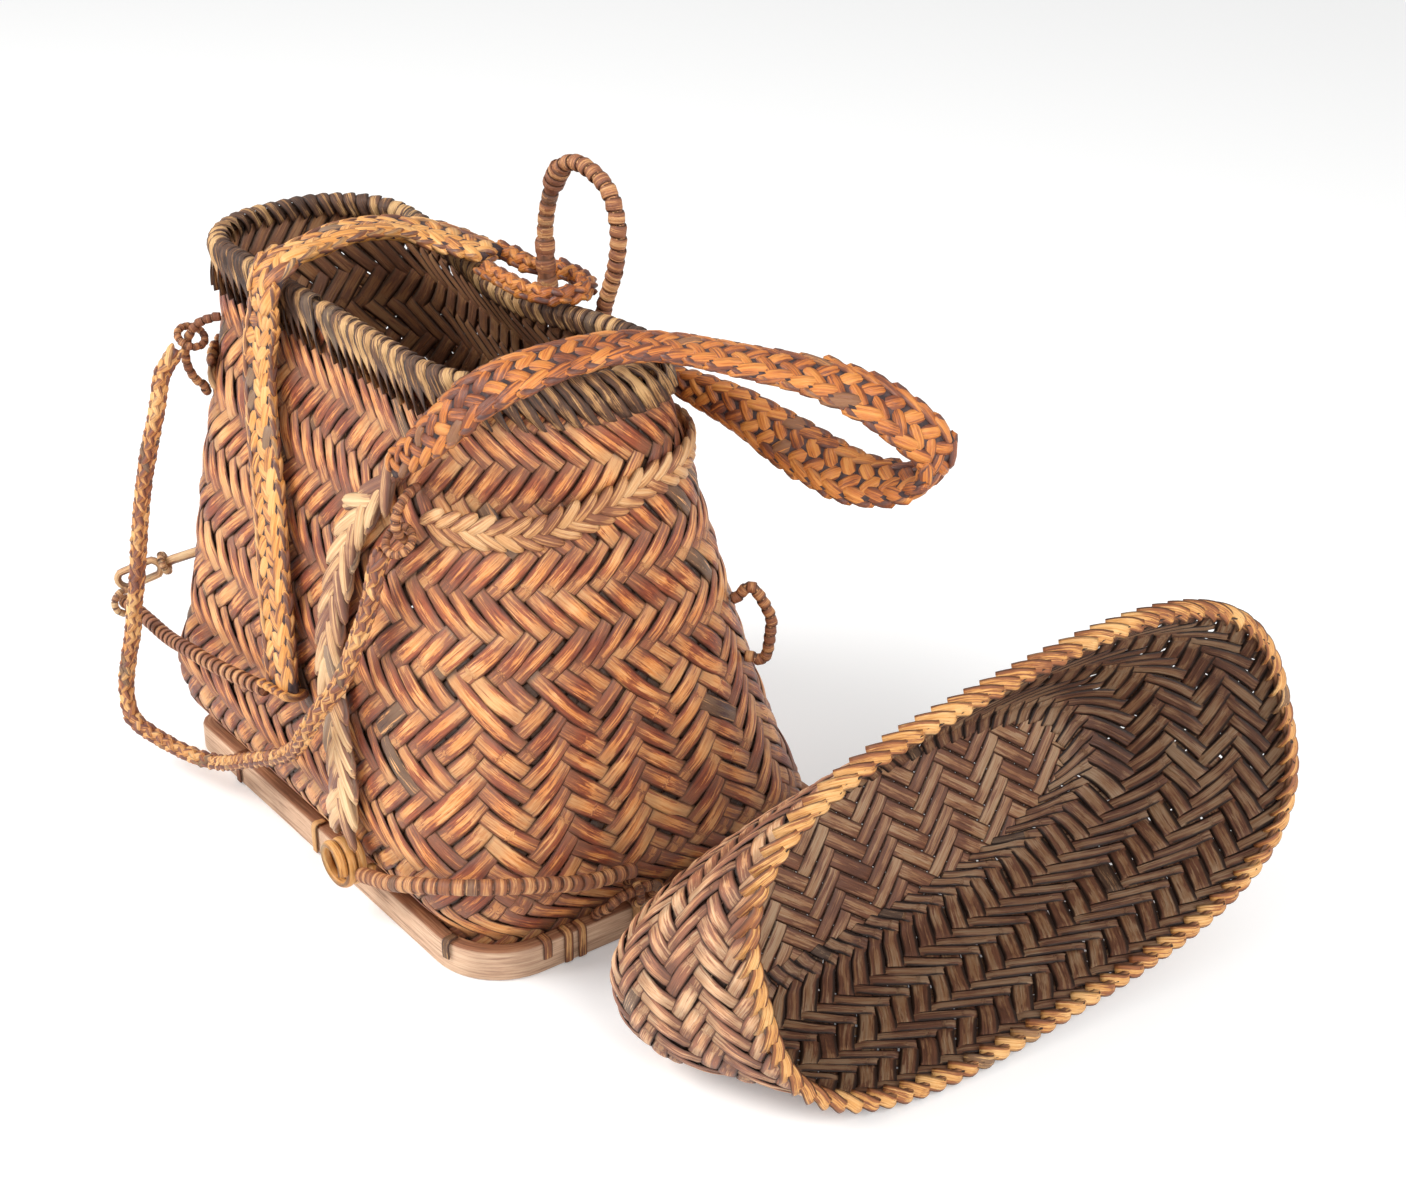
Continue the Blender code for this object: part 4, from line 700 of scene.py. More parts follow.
def bias_strips(name, direction, count, rise, low, high, lengths, over, finish, wall, thick, fill, map_start=0.0):
    """One family of strips of a bias plait, climbing to one side, laid on a wall.

    A strip climbs one rise for each strip's place that it goes round, and crosses two strips of the other family
    in it. Over three of them it is a float, which arches; under the next three it is buried.
    """
    climb = np.arange(low / rise, high / rise + 0.01, STRIP_STEP)[None]
    start = np.arange(count)[:, None]
    around = start + direction * climb
    crossing = np.floor(2 * np.broadcast_to(climb, around.shape) + 1e-6)
    part = 2 * climb - crossing
    here, after, before, beyond = [np.where(over(start, crossing + ahead, direction), 1.0, -1.0)
                                   for ahead in (0, 1, -1, 2)]
    turn = np.clip((part - 0.2) / 0.6, 0, 1)
    lift = (here + (after - here) * turn * turn * (3 - 2 * turn)) * thick * WEAVE_LIFT
    under = np.clip(-lift / (thick * WEAVE_LIFT) * 1.6 - 0.5, 0, 1)[..., None]
    crown = np.where((here > 0) & (after > 0),
                     np.where(before < 0, part, 1.0) * np.where(beyond < 0, 1 - part, 1.0), 0)
    lift = lift + CROWN_LIFT * thick * np.minimum(crown * 1.4, 1)
    height = climb * rise
    length = np.interp(height, *lengths)
    step_round = length / count
    diagonal = np.hypot(step_round, rise)
    width = fill * step_round * rise / diagonal * (1 + 0.07 * np.sin(start * 2.4 + climb * 0.35)
                                                   + 0.04 * np.sin(start * 5.1 + climb * 1.9))
    across = STRIP_SECTION[:, 0] * width[..., None]
    drift = 0.07 * np.sin(start * 1.7 + climb * 0.9) + 0.05 * np.sin(start * 4.3 - climb * 1.7)
    u = (around + drift)[..., None] / count - across * (rise / diagonal / length)[..., None]
    v = height[..., None] + across * (direction * step_round / diagonal)[..., None]
    points = np.stack([(u + MAP_START) / MAP_SPAN, v / MAP_SCALE + map_start,
                       lift[..., None] + STRIP_SECTION[:, 1] * thick], axis=-1)
    # Painted shade: float ends, stretches under other strips and each strip's underside get a grain depth that darkens
    # them.
    ends = 0.55 * (1 - np.minimum(crown * 1.5, 1))[..., None]
    depth = np.where(STRIP_SECTION[:, 1] < -0.2, 1.0, ends + (2 - ends) * under)
    along = climb * rise * 1.42 + start * 0.37
    grain = np.stack([np.broadcast_to(along[..., None], u.shape), np.broadcast_to(STRIP_SECTION[:, 0], u.shape),
                      depth], axis=-1)
    floats = np.floor(climb[0] / FLOAT_RISES + 1e-6).astype(int)
    each = random.random((count, floats.max() + 1))[:, floats]
    tone = np.where(each > OLD_FLOATS, 1.0, 0.45 * random.random(count)[:, None] + 0.5 * each)
    piece = mesh_object(name, points.reshape(-1, 3), tube_faces(*u.shape), None, grain=grain.reshape(-1, 3),
                        tone=np.broadcast_to(tone[..., None], u.shape).ravel())
    run_tree(piece, wall_layer, {"Wall": wall, "Stand off": STRIP_STAND_OFF, "Finish": finish})
    face_out(piece.data)
    return piece


def strip_places(start, crossing, direction):
    """Numbers of the rising and the falling strip that cross there."""
    rising = np.where(direction > 0, start, start - crossing)
    falling = np.where(direction > 0, start + crossing, start)
    return rising, falling


def twill(start, crossing, direction):
    """Over three, under three: in rows, but in columns low on the two end faces."""
    rising, falling = strip_places(start, crossing, direction)
    around = ((rising + falling) / 2 / STRIPS_AROUND) % 1.0
    height = (falling - rising) / 2 * STRIP_RISE / BASKET_HEIGHT
    end_face = ((np.abs(around - 0.25) < 0.11) | (np.abs(around - 0.77) < 0.08)) & (height > 0.14) & (height < 0.47)
    rising_on_top = np.where(end_face, (rising + falling) % 6 < 3, (falling - rising) % 6 < 3)
    return rising_on_top if direction > 0 else ~rising_on_top


# Aged red-brown, rubbed to gold on the crown of each float, a little glossier than the rope; its underside and the
# ends of its floats are painted darker as shade.
body_rattan = rattan("aged_split_rattan_plait", ("#6E3424", "#B05E3A", "#DA8C4A", "#EEB478"), "#33282A", 0.60, 0.36,
                     deep_shade_colour="#8A6850")
guide_rows = []
for height in np.linspace(0.0, BASKET_HEIGHT + 0.008, 90):
    points, outs, length = wall_row(min(height, BASKET_HEIGHT), np.linspace(-0.5, 1.5, WALL_ROUND))
    points[:, 2] += max(height - BASKET_HEIGHT, 0)
    guide_rows.append((height / MAP_SCALE, points, outs))
body_guide = guide_wall("body_guide", guide_rows)
length_heights = np.linspace(0, BASKET_HEIGHT, 40)
wall_lengths = np.array([wall_row(height, [0.0])[2] for height in length_heights])
for direction, side in ((1, "rising_right"), (-1, "rising_left")):
    strips = bias_strips("body_strips_" + side, direction, STRIPS_AROUND, STRIP_RISE, BODY_LIFT + 0.002,
                         BASKET_HEIGHT - 0.003, (length_heights, wall_lengths), twill, body_rattan, body_guide,
                         STRIP_THICKNESS, STRIP_FILL)
    dress(strips, "basket", "rattan_weave", "basket_body")


def floor_weave(name, outline, height, pitch, finish, painted_shade, bias=0.0, place=None, thick=0.0012):
    """Flat plaited panel inside an outline: strips both ways, over three and under three, turned by a bias."""
    turn = np.array([[cos(bias), -sin(bias)], [sin(bias), cos(bias)]])
    outline = outline @ turn
    ahead = np.roll(outline, -1, axis=0)
    low, high = outline.min(axis=0), outline.max(axis=0)
    half = pitch * 0.48
    section = [(-half, 0), (-half * 0.7, thick * 0.35), (half * 0.7, thick * 0.35), (half, 0),
               (half * 0.7, -thick * 0.35), (-half * 0.7, -thick * 0.35)]
    lanes = []
    for axis, sign in ((0, -1.0), (1, 1.0)):
        other = 1 - axis
        for number, lane in enumerate(np.arange(low[other] + pitch / 2, high[other], pitch)):
            cut = (outline[:, other] - lane) * (ahead[:, other] - lane) < 0
            if cut.sum() < 2:
                continue
            near, step = outline[cut], ahead[cut] - outline[cut]
            ends = near[:, axis] + step[:, axis] * (lane - near[:, other]) / step[:, other]
            marks = np.arange(ends.min(), ends.max(), pitch / 4)
            if len(marks) < 4:
                continue
            steps = (marks - low[axis]) / pitch - 0.5
            cells = np.floor(steps) + [[0], [1]]
            now, then = np.where(sign * (cells - number) % 6 < 3, sign, -sign)
            part = np.clip((steps - np.floor(steps) - 0.2) / 0.6, 0, 1)
            path = np.zeros((len(marks), 3))
            path[:, axis] = marks
            path[:, other] = lane
            path[:, :2] = path[:, :2] @ turn.T
            path[:, 2] = height + (now + (then - now) * part) * thick * 0.5
            lanes.append(strand("lane", path, upright(len(marks)), section, finish, painted_shade=painted_shade))
    piece = joined(name, lanes)
    if place is not None:
        piece.data.transform(place)
    return piece


bottom_outline = wall_row(BODY_LIFT + 0.006, np.arange(200) / 200, -0.002)[0][:, :2]
# The bottom's strips are darkened a third of the way to the body's shade colour, as painted shade.
bottom = floor_weave("body_bottom_plait", bottom_outline, BODY_LIFT + 0.0030, 0.010, body_rattan, 0.5, pi / 4)
dress(bottom, "basket", "rattan_weave", "basket_body")

# Rim border: short strips hooked slantwise over the mouth one beside the other, greyish and worn.
# Below it a plaited band of two rows runs round the neck, open along the near side.
RIM_PITCH = 0.0076
BORDER_DEPTH = 0.025
hook_route = ((-0.0095, 0.0012, -0.0245), (-0.0058, 0.0024, -0.0160), (-0.0022, 0.0026, -0.0070),
              (0.0006, 0.0024, -0.0012), (0.0018, 0.0012, 0.0010), (0.0026, -0.0016, 0.0017),
              (0.0034, -0.0042, 0.0010), (0.0040, -0.0055, -0.0010), (0.0066, -0.0057, -0.0084))
# Handled most of all, so it is dull, dark and greyish, with pale wood on a few strips.
rim_rattan = rattan("worn_rattan_border", ("#38261E", "#765038", "#B28250", "#D8AE78"), "#4A3A34", 0.63, 0.5)


def hook_shape(name, route, width, thick):
    """One strip of the border: up the outer face, over the mouth and down inside."""
    path = smooth_path(route, 0.0024)
    ups = unit(np.stack([np.zeros(len(path)), path[:, 1] + 0.0017, path[:, 2] + 0.012], axis=1))
    section = [(-width / 2, 0), (-width * 0.3, thick / 2), (width * 0.3, thick / 2), (width / 2, 0),
               (width * 0.3, -thick / 2), (-width * 0.3, -thick / 2)]
    return bare_shape(strand(name, path, ups, section, None, tone=0))


border_hook = hook_shape("border_hook", hook_route, 0.0072, 0.0012)
rim_length = wall_lengths[-1]
rim_arounds = np.arange(int(rim_length / RIM_PITCH)) * RIM_PITCH / rim_length
rim_spots, rim_outs = wall_row(BASKET_HEIGHT, rim_arounds)[:2]
rim_ups = unit(rim_spots - wall_row(BASKET_HEIGHT - BORDER_DEPTH, rim_arounds)[0])
rim_outs = unit(rim_outs - rim_ups * (rim_outs * rim_ups).sum(axis=1, keepdims=True))
rim_hooks = laid_pieces("rim_border_strips", rim_spots, np.stack([np.cross(rim_outs, rim_ups), rim_outs, rim_ups], 1),
                        (1, 1, 1), border_hook, rim_rattan, seed=5)
core_path = wall_row(BASKET_HEIGHT - 0.0030, np.arange(220) / 220, -0.0018)[0]
# The core cane under the hooks is darkened about half way to the shade colour, as painted shade.
rim_core = strand("rim_core_cane", core_path, upright(220), round_section(0.0052, 0.0062), rim_rattan, True,
                  painted_shade=0.8, tone=0.4)
dress(rim_hooks, "basket", "rattan_border", "rim_border")
dress(rim_core, "basket", "rattan_border", "rim_border")

NECK_BAND_SHARES = np.array(((0.120, 0.757), (0.19, 0.757), (0.226, 0.785), (0.26, 0.812), (0.31, 0.822),
                             (0.50, 0.805), (0.66, 0.80), (0.75, 0.785), (0.858, 0.772)))
neck_arounds = np.linspace(0.122, 0.856, 160)
neck_levels = level(np.interp(neck_arounds, *NECK_BAND_SHARES.T))
neck_rows = [wall_row(height, [around], 0.0022) for height, around in zip(neck_levels, neck_arounds)]
neck_path, neck_ups = np.array([row[0][0] for row in neck_rows]), np.array([row[1][0] for row in neck_rows])
NECK_FLOAT = (0.0125, 0.0066, 0.0050)
neck_columns = [(0.0036, 0.0008, 0.0, 0.62, 0.0, NECK_FLOAT), (-0.0036, 0.0008, 0.0, -0.62, 0.5, NECK_FLOAT)]
# Newer than the body and less handled: paler gold, satin.
neck_rattan = rattan("golden_rattan_neck_plait", ("#7A4832", "#B0744C", "#D0965E", "#E4BA8A"), "#5A4030", 0.56, 0.4)
neck_band = plaited("plaited_neck_band", neck_path, neck_ups, 0.0084, neck_columns, neck_rattan, seed=6)
dress(neck_band, "basket", "rattan_weave", "neck_band")

# Lashings: flat rattan strips hooked over the base frame's top and down its outer face, holding the body to it.
LASHING_SHARES = ((0.905, True), (0.990, True), (0.118, False), (0.170, False), (0.182, True), (0.190, True),
                  (0.222, False), (0.268, True), (0.277, True), (0.300, False), (0.470, True), (0.560, True),
                  (0.735, True), (0.790, True))
LASHING_SECTION = ((-0.0026, 0), (-0.0017, 0.0006), (0.0017, 0.0006), (0.0026, 0), (0.0017, -0.0006),
                   (-0.0017, -0.0006))
OVER_FRAME = BASE_HEIGHT + 0.0010
# Thin, tough strips, dull where they rub on the frame.
lashing_rattan = rattan("split_rattan_lashing", ("#6E402A", "#A2643E", "#CE9458", "#E6B67C"), "#4A3428", 0.62)
lashings = []
for around, whole in LASHING_SHARES:
    foot = 0.0010 if whole else BASE_HEIGHT - 0.009
    route = [base_point(around, inward, height) for inward, height in
             ((-0.0010, foot), (-0.0012, (foot + BASE_HEIGHT) / 2), (-0.0011, BASE_HEIGHT - 0.0010),
              (0.0003, OVER_FRAME), (0.0024, OVER_FRAME), (0.0056, OVER_FRAME))]
    path = smooth_path(route, 0.0015)
    ups = unit(path - base_point(around, BASE_THICKNESS / 2, BASE_HEIGHT / 2))
    lashings.append(strand("lashing", path, ups, LASHING_SECTION, lashing_rattan))
base_lashings = joined("base_lashings", lashings)
dress(base_lashings, "basket", "rattan_cord", *[f"base_lashing_{i:02d}" for i in range(1, 15)])

# Loops of the straps on the far side: stout canes wrapped with flat rattan, one upright and one turned down.
LOOP_DIAMETER = 0.0085
LOW_LOOP_DIAMETER = 0.0077
# Wound while wet and handled little: even, brown and satin.
loop_rattan = rattan("rattan_wrapping", ("#7A4834", "#A0653F", "#BF8150", "#D6A470"), "#6A4A3A", 0.64, 0.42, 7.0,
                     spread=0.10)


def at_shares(x_share, y_share, z_share):
    """Point given as shares of the half length, the half width and the height."""
    return np.array([x_share * HALF_LENGTH, y_share * HALF_WIDTH, z_share * BASKET_HEIGHT]) + HOME


def far_share(x, height):
    """Share around the body at which its far side passes a given x at a height."""
    arounds = np.linspace(0.36, 0.64, 57)
    line = wall_row(height, arounds)[0][:, 0] - HOME[0]
    order = np.argsort(line)
    return float(np.interp(x, line[order], arounds[order]))


def leg_down(x_share):
    """A loop's leg from beside the border down to its foot, close against the far side."""
    points = []
    for share, lift in ((0.950, 0.0040), (0.915, 0.0040), (0.870, 0.0012)):
        height = level(share)
        points.append(skin(far_share(x_share * HALF_LENGTH, height), height, LOOP_DIAMETER / 2 + lift))
    return points


TALL_LOOP_SHARES = ((0.193, 0.120, 0.996), (0.175, 0.128, 1.086), (0.203, 0.141, 1.155), (0.261, 0.154, 1.203),
                    (0.355, 0.171, 1.214), (0.473, 0.188, 1.188), (0.510, 0.201, 1.127), (0.479, 0.209, 1.056),
                    (0.397, 0.218, 0.968))
tall_points = leg_down(0.193)[::-1] + [at_shares(*row) for row in TALL_LOOP_SHARES] + leg_down(0.397)[1:]
tall_path = smooth_path(tall_points, 0.004)
tall_loop = wound("wrapped_tall_loop", tall_path, LOOP_DIAMETER, 0.0062, loop_rattan, seed=8)
top = int(tall_path[:, 2].argmax())
knot_wraps = wound("tall_loop_knot", tall_path[top - 6:top - 2], LOOP_DIAMETER * 1.35, 0.0040, loop_rattan, seed=41)
thick_leg = wound("tall_loop_leg_wrap", tall_path[top - 22:top - 12], LOOP_DIAMETER * 1.22, 0.0080, loop_rattan,
                  seed=42)
tall_loop = joined("wrapped_tall_loop", [tall_loop, knot_wraps, thick_leg])
dress(tall_loop, "basket", "rattan_cord", "tall_strap_loop")


def wall_stub(around, height, radius):
    """Two points that bring a loop's foot square onto the wall."""
    lean = skin(around, height + radius) - skin(around, height - radius)
    outward = skin(around, height, radius) - skin(around, height)
    dip = abs(unit(lean).dot(unit(outward))) * radius
    return [skin(around, height, 0.0006 + dip), skin(around, height, 0.0006 + dip + radius)]


RIGHT_EYE_CENTRE = at_shares(0.470, 0.385, 0.872)
LOW_LOOP_SPAN = 0.022
low_feet = [wall_stub(far_share(RIGHT_EYE_CENTRE[0] - HOME[0] - shift, RIGHT_EYE_CENTRE[2]), RIGHT_EYE_CENTRE[2],
                      LOW_LOOP_DIAMETER / 2) for shift in (0, LOW_LOOP_SPAN)]
low_out = RIGHT_EYE_CENTRE + np.array([0, 0.010, 0])
low_points = low_feet[0] + [RIGHT_EYE_CENTRE, low_out, low_out + np.array([-LOW_LOOP_SPAN / 2, 0.020 / 3, 0]),
                            low_out + np.array([-LOW_LOOP_SPAN, 0, 0])] + low_feet[1][::-1]
low_loop = wound("wrapped_low_loop", smooth_path(low_points, 0.003), LOW_LOOP_DIAMETER, 0.0056, loop_rattan, seed=9)
dress(low_loop, "basket", "rattan_cord", "low_strap_loop")

# Left strap: a flat plait of polished golden rattan, 33 mm wide, four floats across.
# It parts at its upper end into two round plaits that close round the tall loop.
STRAP_THICKNESS = 0.0085
STRAP_PITCH = 0.0106
# Polished by hands and shoulders: glossy golden orange floats with gaps dark with dust and painted shade. The left
# strap takes a paler copy, which paints on the lamp light that falls on it.
strap_rattan = rattan("polished_rattan_strap_plait", ("#6A3826", "#9C542A", "#C26F30", "#DC9248"), "#7A543E", 0.54,
                      0.28, 7.0, "#403234")
lamp_lit_strap_rattan = rattan("golden_rattan_strap_plait", ("#74442E", "#B06A3A", "#DA9448", "#F0B874"), "#6A5448", 0.52,
                      0.28, 7.0, "#453638")


def dusty_shaded_groove():
    """Years of dust and skin grease between the floats, and the shade deep between them, painted as one sheet: matt
    purplish grey, mottled in spots of 4 mm.
    """
    made, tree, shader = surface("dusty_strap_groove")
    place = add(tree, "ShaderNodeTexCoord").outputs["Object"]
    cloud = add(tree, "ShaderNodeTexNoise", {"Vector": place, "Scale": 260.0, "Detail": 3.0})
    colour = add(tree, "ShaderNodeValToRGB", {0: cloud}, ((0.35, "#2C2022"), (0.65, "#54403E")))
    rough = add(tree, "ShaderNodeMapRange", {"Value": cloud, "To Min": 0.75, "To Max": 0.95})
    relief = add(tree, "ShaderNodeBump", {"Height": cloud, "Strength": 0.4, "Distance": 0.0006})
    feed(tree, shader, {"Base Color": colour, "Roughness": rough, "Normal": relief})
    return made


strap_groove = dusty_shaded_groove()


def stations_path(stations, step):
    """Evenly spaced centres, faces and width shares through stations of (point, facing, width share)."""
    centres = smooth_path([row[0] for row in stations], step)
    given = travelled(np.array([row[0] for row in stations]))
    run = travelled(centres)
    place = run * given[-1] / run[-1]
    faces = at_marks(place, given, np.array([row[1] for row in stations], float))
    return centres, unit(faces), np.interp(place, given, [row[2] for row in stations])


# Columns of floats as (side, slant, phase), with their height, their lean to the edge and the size of a float.
INNER_COLUMNS = ((0.0034, 0.76, 0.0), (-0.0034, -0.76, 0.5))
EDGE_COLUMNS = ((0.0095, -0.27, 0.30), (-0.0095, 0.27, 0.80))
STRAP_ROWS = ((INNER_COLUMNS, 0.0022, 0.0, (0.0114, 0.0084, 0.0050)),
              (EDGE_COLUMNS, 0.0013, 0.55, (0.0142, 0.0080, 0.0050)))
BOTH_FACES = ((1, 0.0), (-1, pi))
strap_columns = [(side, height * face, roll + lean * np.sign(side) * face, slant * face, phase, size)
                 for face, roll in BOTH_FACES for columns, height, lean, size in STRAP_ROWS
                 for side, slant, phase in columns]
STRAP_CORE = ((-0.0127, 0), (-0.0108, 0.0027), (0, 0.0035), (0.0108, 0.0027), (0.0127, 0), (0.0108, -0.0027),
              (0, -0.0035), (-0.0108, -0.0027))
END_FLOATS = (-0.0104, -0.0052, 0.0, 0.0052, 0.0104)


def flat_strap(name, stations, seed, finish, wide=1.0):
    """Plaited strap along its stations: a thin core, floats on both faces, and a row of short ones at its end."""
    path, ups, widths = stations_path(stations, 0.004)
    widths = widths * wide
    floats = plaited(name + "_floats", path, ups, STRAP_PITCH, strap_columns, finish, widths, seed)
    core = strand(name + "_core", path, ups, STRAP_CORE, strap_groove, widths=widths)
    end = unit(path[-1] - path[-2])
    across = unit(np.cross(ups[-1], end))
    spots = np.array([path[-1] + end * 0.0008 + across * side * widths[-1] for side in END_FLOATS])
    axes = np.array([np.stack([ups[-1], np.cross(end, ups[-1]), end])] * len(END_FLOATS))
    caps = laid_pieces(name + "_end", spots, axes, (0.0118, 0.0078 * widths[-1], 0.0064), plait_float, finish,
                       seed + 40)
    return joined(name, [floats, core, caps])


BORDER_CLEARANCE = 0.0022


def strap_on_side(around, share, thickness, stand_off):
    """Centre of a strap lying against the body, clear of the border where it crosses it."""
    height = level(share)
    lift = stand_off + BORDER_CLEARANCE if height > BASKET_HEIGHT - BORDER_DEPTH - thickness else stand_off
    over = np.array([0, 0, max(height - BASKET_HEIGHT, 0)])
    return skin(around, min(height, BASKET_HEIGHT), thickness / 2 + lift) + over


NEAR = (0, -1, 0.15)
left_over = (
    ((-0.044, 0.036, 1.020), (0.0, 0.1, 1.0), 0.62), ((-0.075, 0.028, 1.020), (0.0, 0.1, 1.0), 0.76),
    ((-0.115, 0.014, 1.021), (0.0, 0.1, 1.0), 0.86), ((-0.165, -0.006, 1.023), (0.0, 0.1, 1.0), 0.92),
    ((-0.262, -0.054, 1.028), (0.0, 0.05, 1.0), 1.0), ((-0.344, -0.144, 1.036), (0.0, 0.0, 1.0), 1.0),
    ((-0.360, -0.288, 1.048), (-0.05, -0.1, 1.0), 1.0), ((-0.350, -0.465, 1.054), (-0.1, -0.2, 1.0), 1.0),
    ((-0.342, -0.631, 1.045), (-0.1, -0.35, 0.93), 1.0), ((-0.310, -0.785, 1.040), (-0.05, -0.6, 0.8), 1.0),
    ((-0.308, -0.868, 1.008), (-0.05, -0.9, 0.45), 1.0),
)
left_down = ((0.936, 0.950), (0.926, 0.890), (0.928, 0.820), (0.950, 0.730), (0.971, 0.637), (0.988, 0.525),
             (0.999, 0.413), (1.002, 0.362))
left_stations = [(at_shares(*spot), facing, width) for spot, facing, width in left_over]
left_stations += [(strap_on_side(around, share, STRAP_THICKNESS, 0.0030), NEAR, 1.0) for around, share in left_down]
left_strap = flat_strap("plaited_left_strap", left_stations, 11, lamp_lit_strap_rattan, 1.14)
dress(left_strap, "left_strap", "rattan_strap", "strap_left")

LEFT_EYE_SHARES = ((-0.074, 0.108, 1.015), (-0.050, 0.128, 1.013), (0.061, 0.147, 1.009), (0.144, 0.229, 1.005),
                   (0.240, 0.238, 1.005), (0.331, 0.195, 1.007), (0.380, 0.106, 1.012), (0.358, 0.000, 1.013),
                   (0.262, -0.045, 1.011), (0.150, -0.056, 1.013), (0.024, -0.060, 1.015))


def round_plait(name, path, diameter, finish, seed):
    """Round plait of four strands over a core."""
    ups = carried_up(path)
    scale = diameter / ROPE_DIAMETER
    columns = [(side * scale, height * scale, roll, slant, phase, tuple(measure * scale for measure in size))
               for side, height, roll, slant, phase, size in round_columns]
    floats = plaited(name + "_floats", path, ups, ROPE_PITCH * scale, columns, finish, seed=seed)
    core = strand(name + "_core", path, ups, round_section(diameter * 0.66, diameter * 0.66), finish, tone=0.2)
    return joined(name, [floats, core])


eye_path = smooth_path([at_shares(*row) for row in LEFT_EYE_SHARES], 0.003)
left_eye = round_plait("plaited_left_strap_eye", eye_path, 0.0088, strap_rattan, 12)
dress(left_eye, "basket", "rattan_strap", "strap_left_eye")

# Right strap: the same plait, from its join on the near side over the right end of the mouth,
# out into the air and back to its eye on the low loop.
right_rows = (
    ((0.515, -0.900, 0.842), (0.10, -0.97, 0.2), 0.48), ((0.627, -0.890, 0.884), (0.20, -0.90, 0.35), 0.62),
    ((0.745, -0.850, 0.938), (0.28, -0.80, 0.5), 0.82), ((0.840, -0.755, 0.996), (0.32, -0.60, 0.7), 0.95),
    ((0.920, -0.590, 1.034), (0.25, -0.38, 0.88), 1.0), ((0.960, -0.310, 1.047), (0.12, -0.20, 0.97), 0.95),
    ((1.040, -0.130, 1.050), (0.06, -0.08, 1.0), 0.90), ((1.160, -0.015, 1.050), (0.06, -0.06, 1.0), 0.88),
    ((1.313, 0.120, 1.043), (0.12, -0.08, 0.98), 0.90), ((1.437, 0.287, 1.026), (0.33, -0.10, 0.93), 0.94),
    ((1.550, 0.415, 1.000), (0.60, -0.12, 0.79), 1.0), ((1.630, 0.560, 0.950), (0.90, -0.10, 0.40), 0.95),
    ((1.640, 0.665, 0.898), (0.97, 0.05, -0.2), 0.90), ((1.597, 0.660, 0.850), (0.60, 0.35, -0.72), 0.92),
    ((1.467, 0.615, 0.827), (0.25, 0.60, -0.76), 1.0), ((1.337, 0.555, 0.822), (0.10, 0.72, -0.68), 1.0),
    ((1.053, 0.500, 0.842), (0.02, 0.90, -0.42), 1.0), ((0.893, 0.455, 0.862), (0.0, 1.0, -0.2), 0.9),
    ((0.713, 0.415, 0.870), (0.0, 1.0, -0.05), 0.72),
)
EYE_DIAMETER = 0.0050
STRAP_EYE_RADIUS = (LOW_LOOP_DIAMETER + EYE_DIAMETER) / 2 + 0.0006
right_stations = [(at_shares(*spot), facing, width) for spot, facing, width in right_rows]
right_stations.append((RIGHT_EYE_CENTRE + np.array([STRAP_EYE_RADIUS + EYE_DIAMETER / 2 + 0.0006, 0, 0]),
                       (0, 1.0, 0), 0.45))
right_strap = flat_strap("plaited_right_strap", right_stations, 13, strap_rattan)
dress(right_strap, "right_strap", "rattan_strap", "strap_right")


def ring_path(centre, axis, radius, count=28):
    """Points of a ring about an axis."""
    side = np.array(Vector(axis).orthogonal().normalized())
    other = np.cross(axis, side)
    turns = 2 * pi * np.arange(count) / count
    return centre + (np.cos(turns)[:, None] * side + np.sin(turns)[:, None] * other) * radius


right_eye = wound("wrapped_right_strap_eye", ring_path(RIGHT_EYE_CENTRE, np.array([0, 1.0, 0]), STRAP_EYE_RADIUS),
                  EYE_DIAMETER, 0.0042, strap_rattan, True, 14)
dress(right_eye, "right_strap", "rattan_strap", "strap_right_eye")

# Braid of the right strap: broad pale strands plaited flat down the near side to a ring of wound cane,
# from which a wrapped cord runs round the front corner to its anchor.
BRAID_SHARES = ((0.092, 0.820), (0.084, 0.775), (0.068, 0.729), (0.058, 0.663), (0.054, 0.601), (0.051, 0.538),
                (0.052, 0.479), (0.056, 0.413), (0.061, 0.317), (0.061, 0.261), (0.057, 0.208))
BRAID_THICKNESS = 0.0075
# Younger, paler cane in broad floats, satin, darkest where the strands dive; dirt and painted shade darken the edges
# of each float.
braid_rattan = rattan("pale_split_rattan_braid", ("#7C5040", "#AE7A58", "#D0A070", "#E8C696"), "#7E6454", 0.55, 0.35,
                      7.0, "#4A382E")
COIL_TURNS = 3
COIL_RADIUS = 0.0112
COIL_STRAND = 0.0047
COIL_PITCH = 0.0054
coil_foot = skin(0.057, level(0.208))
coil_height = BASE_HEIGHT + COIL_RADIUS * 1.35
coil_wall = skin(0.057, coil_height + COIL_RADIUS + COIL_STRAND / 2)[1]
coil_width = COIL_TURNS * COIL_PITCH + COIL_STRAND
COIL_CENTRE = np.array([coil_foot[0] - COIL_RADIUS * 0.3,
                        coil_wall + COIL_PITCH * 0.75 - coil_width / 2 - 0.0003, coil_height])
braid_stations = [(strap_on_side(around, share, BRAID_THICKNESS, 0.0022), NEAR, 1.0)
                  for around, share in BRAID_SHARES]
braid_stations.append((COIL_CENTRE + np.array([0, 0, COIL_RADIUS + COIL_STRAND / 2 + 0.0009]), NEAR, 0.85))
braid_path, braid_ups, braid_widths = stations_path(braid_stations, 0.004)
braid_widths = braid_widths * np.linspace(0.95, 1.30, len(braid_widths))
braid_columns = [(side, 0.0008 * face, roll, slant * face, phase, (0.0235, 0.0082, 0.0058))
                 for face, roll in BOTH_FACES
                 for side, slant, phase in ((0.0034, 0.46, 0.0), (-0.0034, -0.46, 0.5))]
right_braid = plaited("flat_right_braid", braid_path, braid_ups, 0.0135, braid_columns, braid_rattan, braid_widths,
                      15)
dress(right_braid, "basket", "rattan_pale", "strap_right_braid")

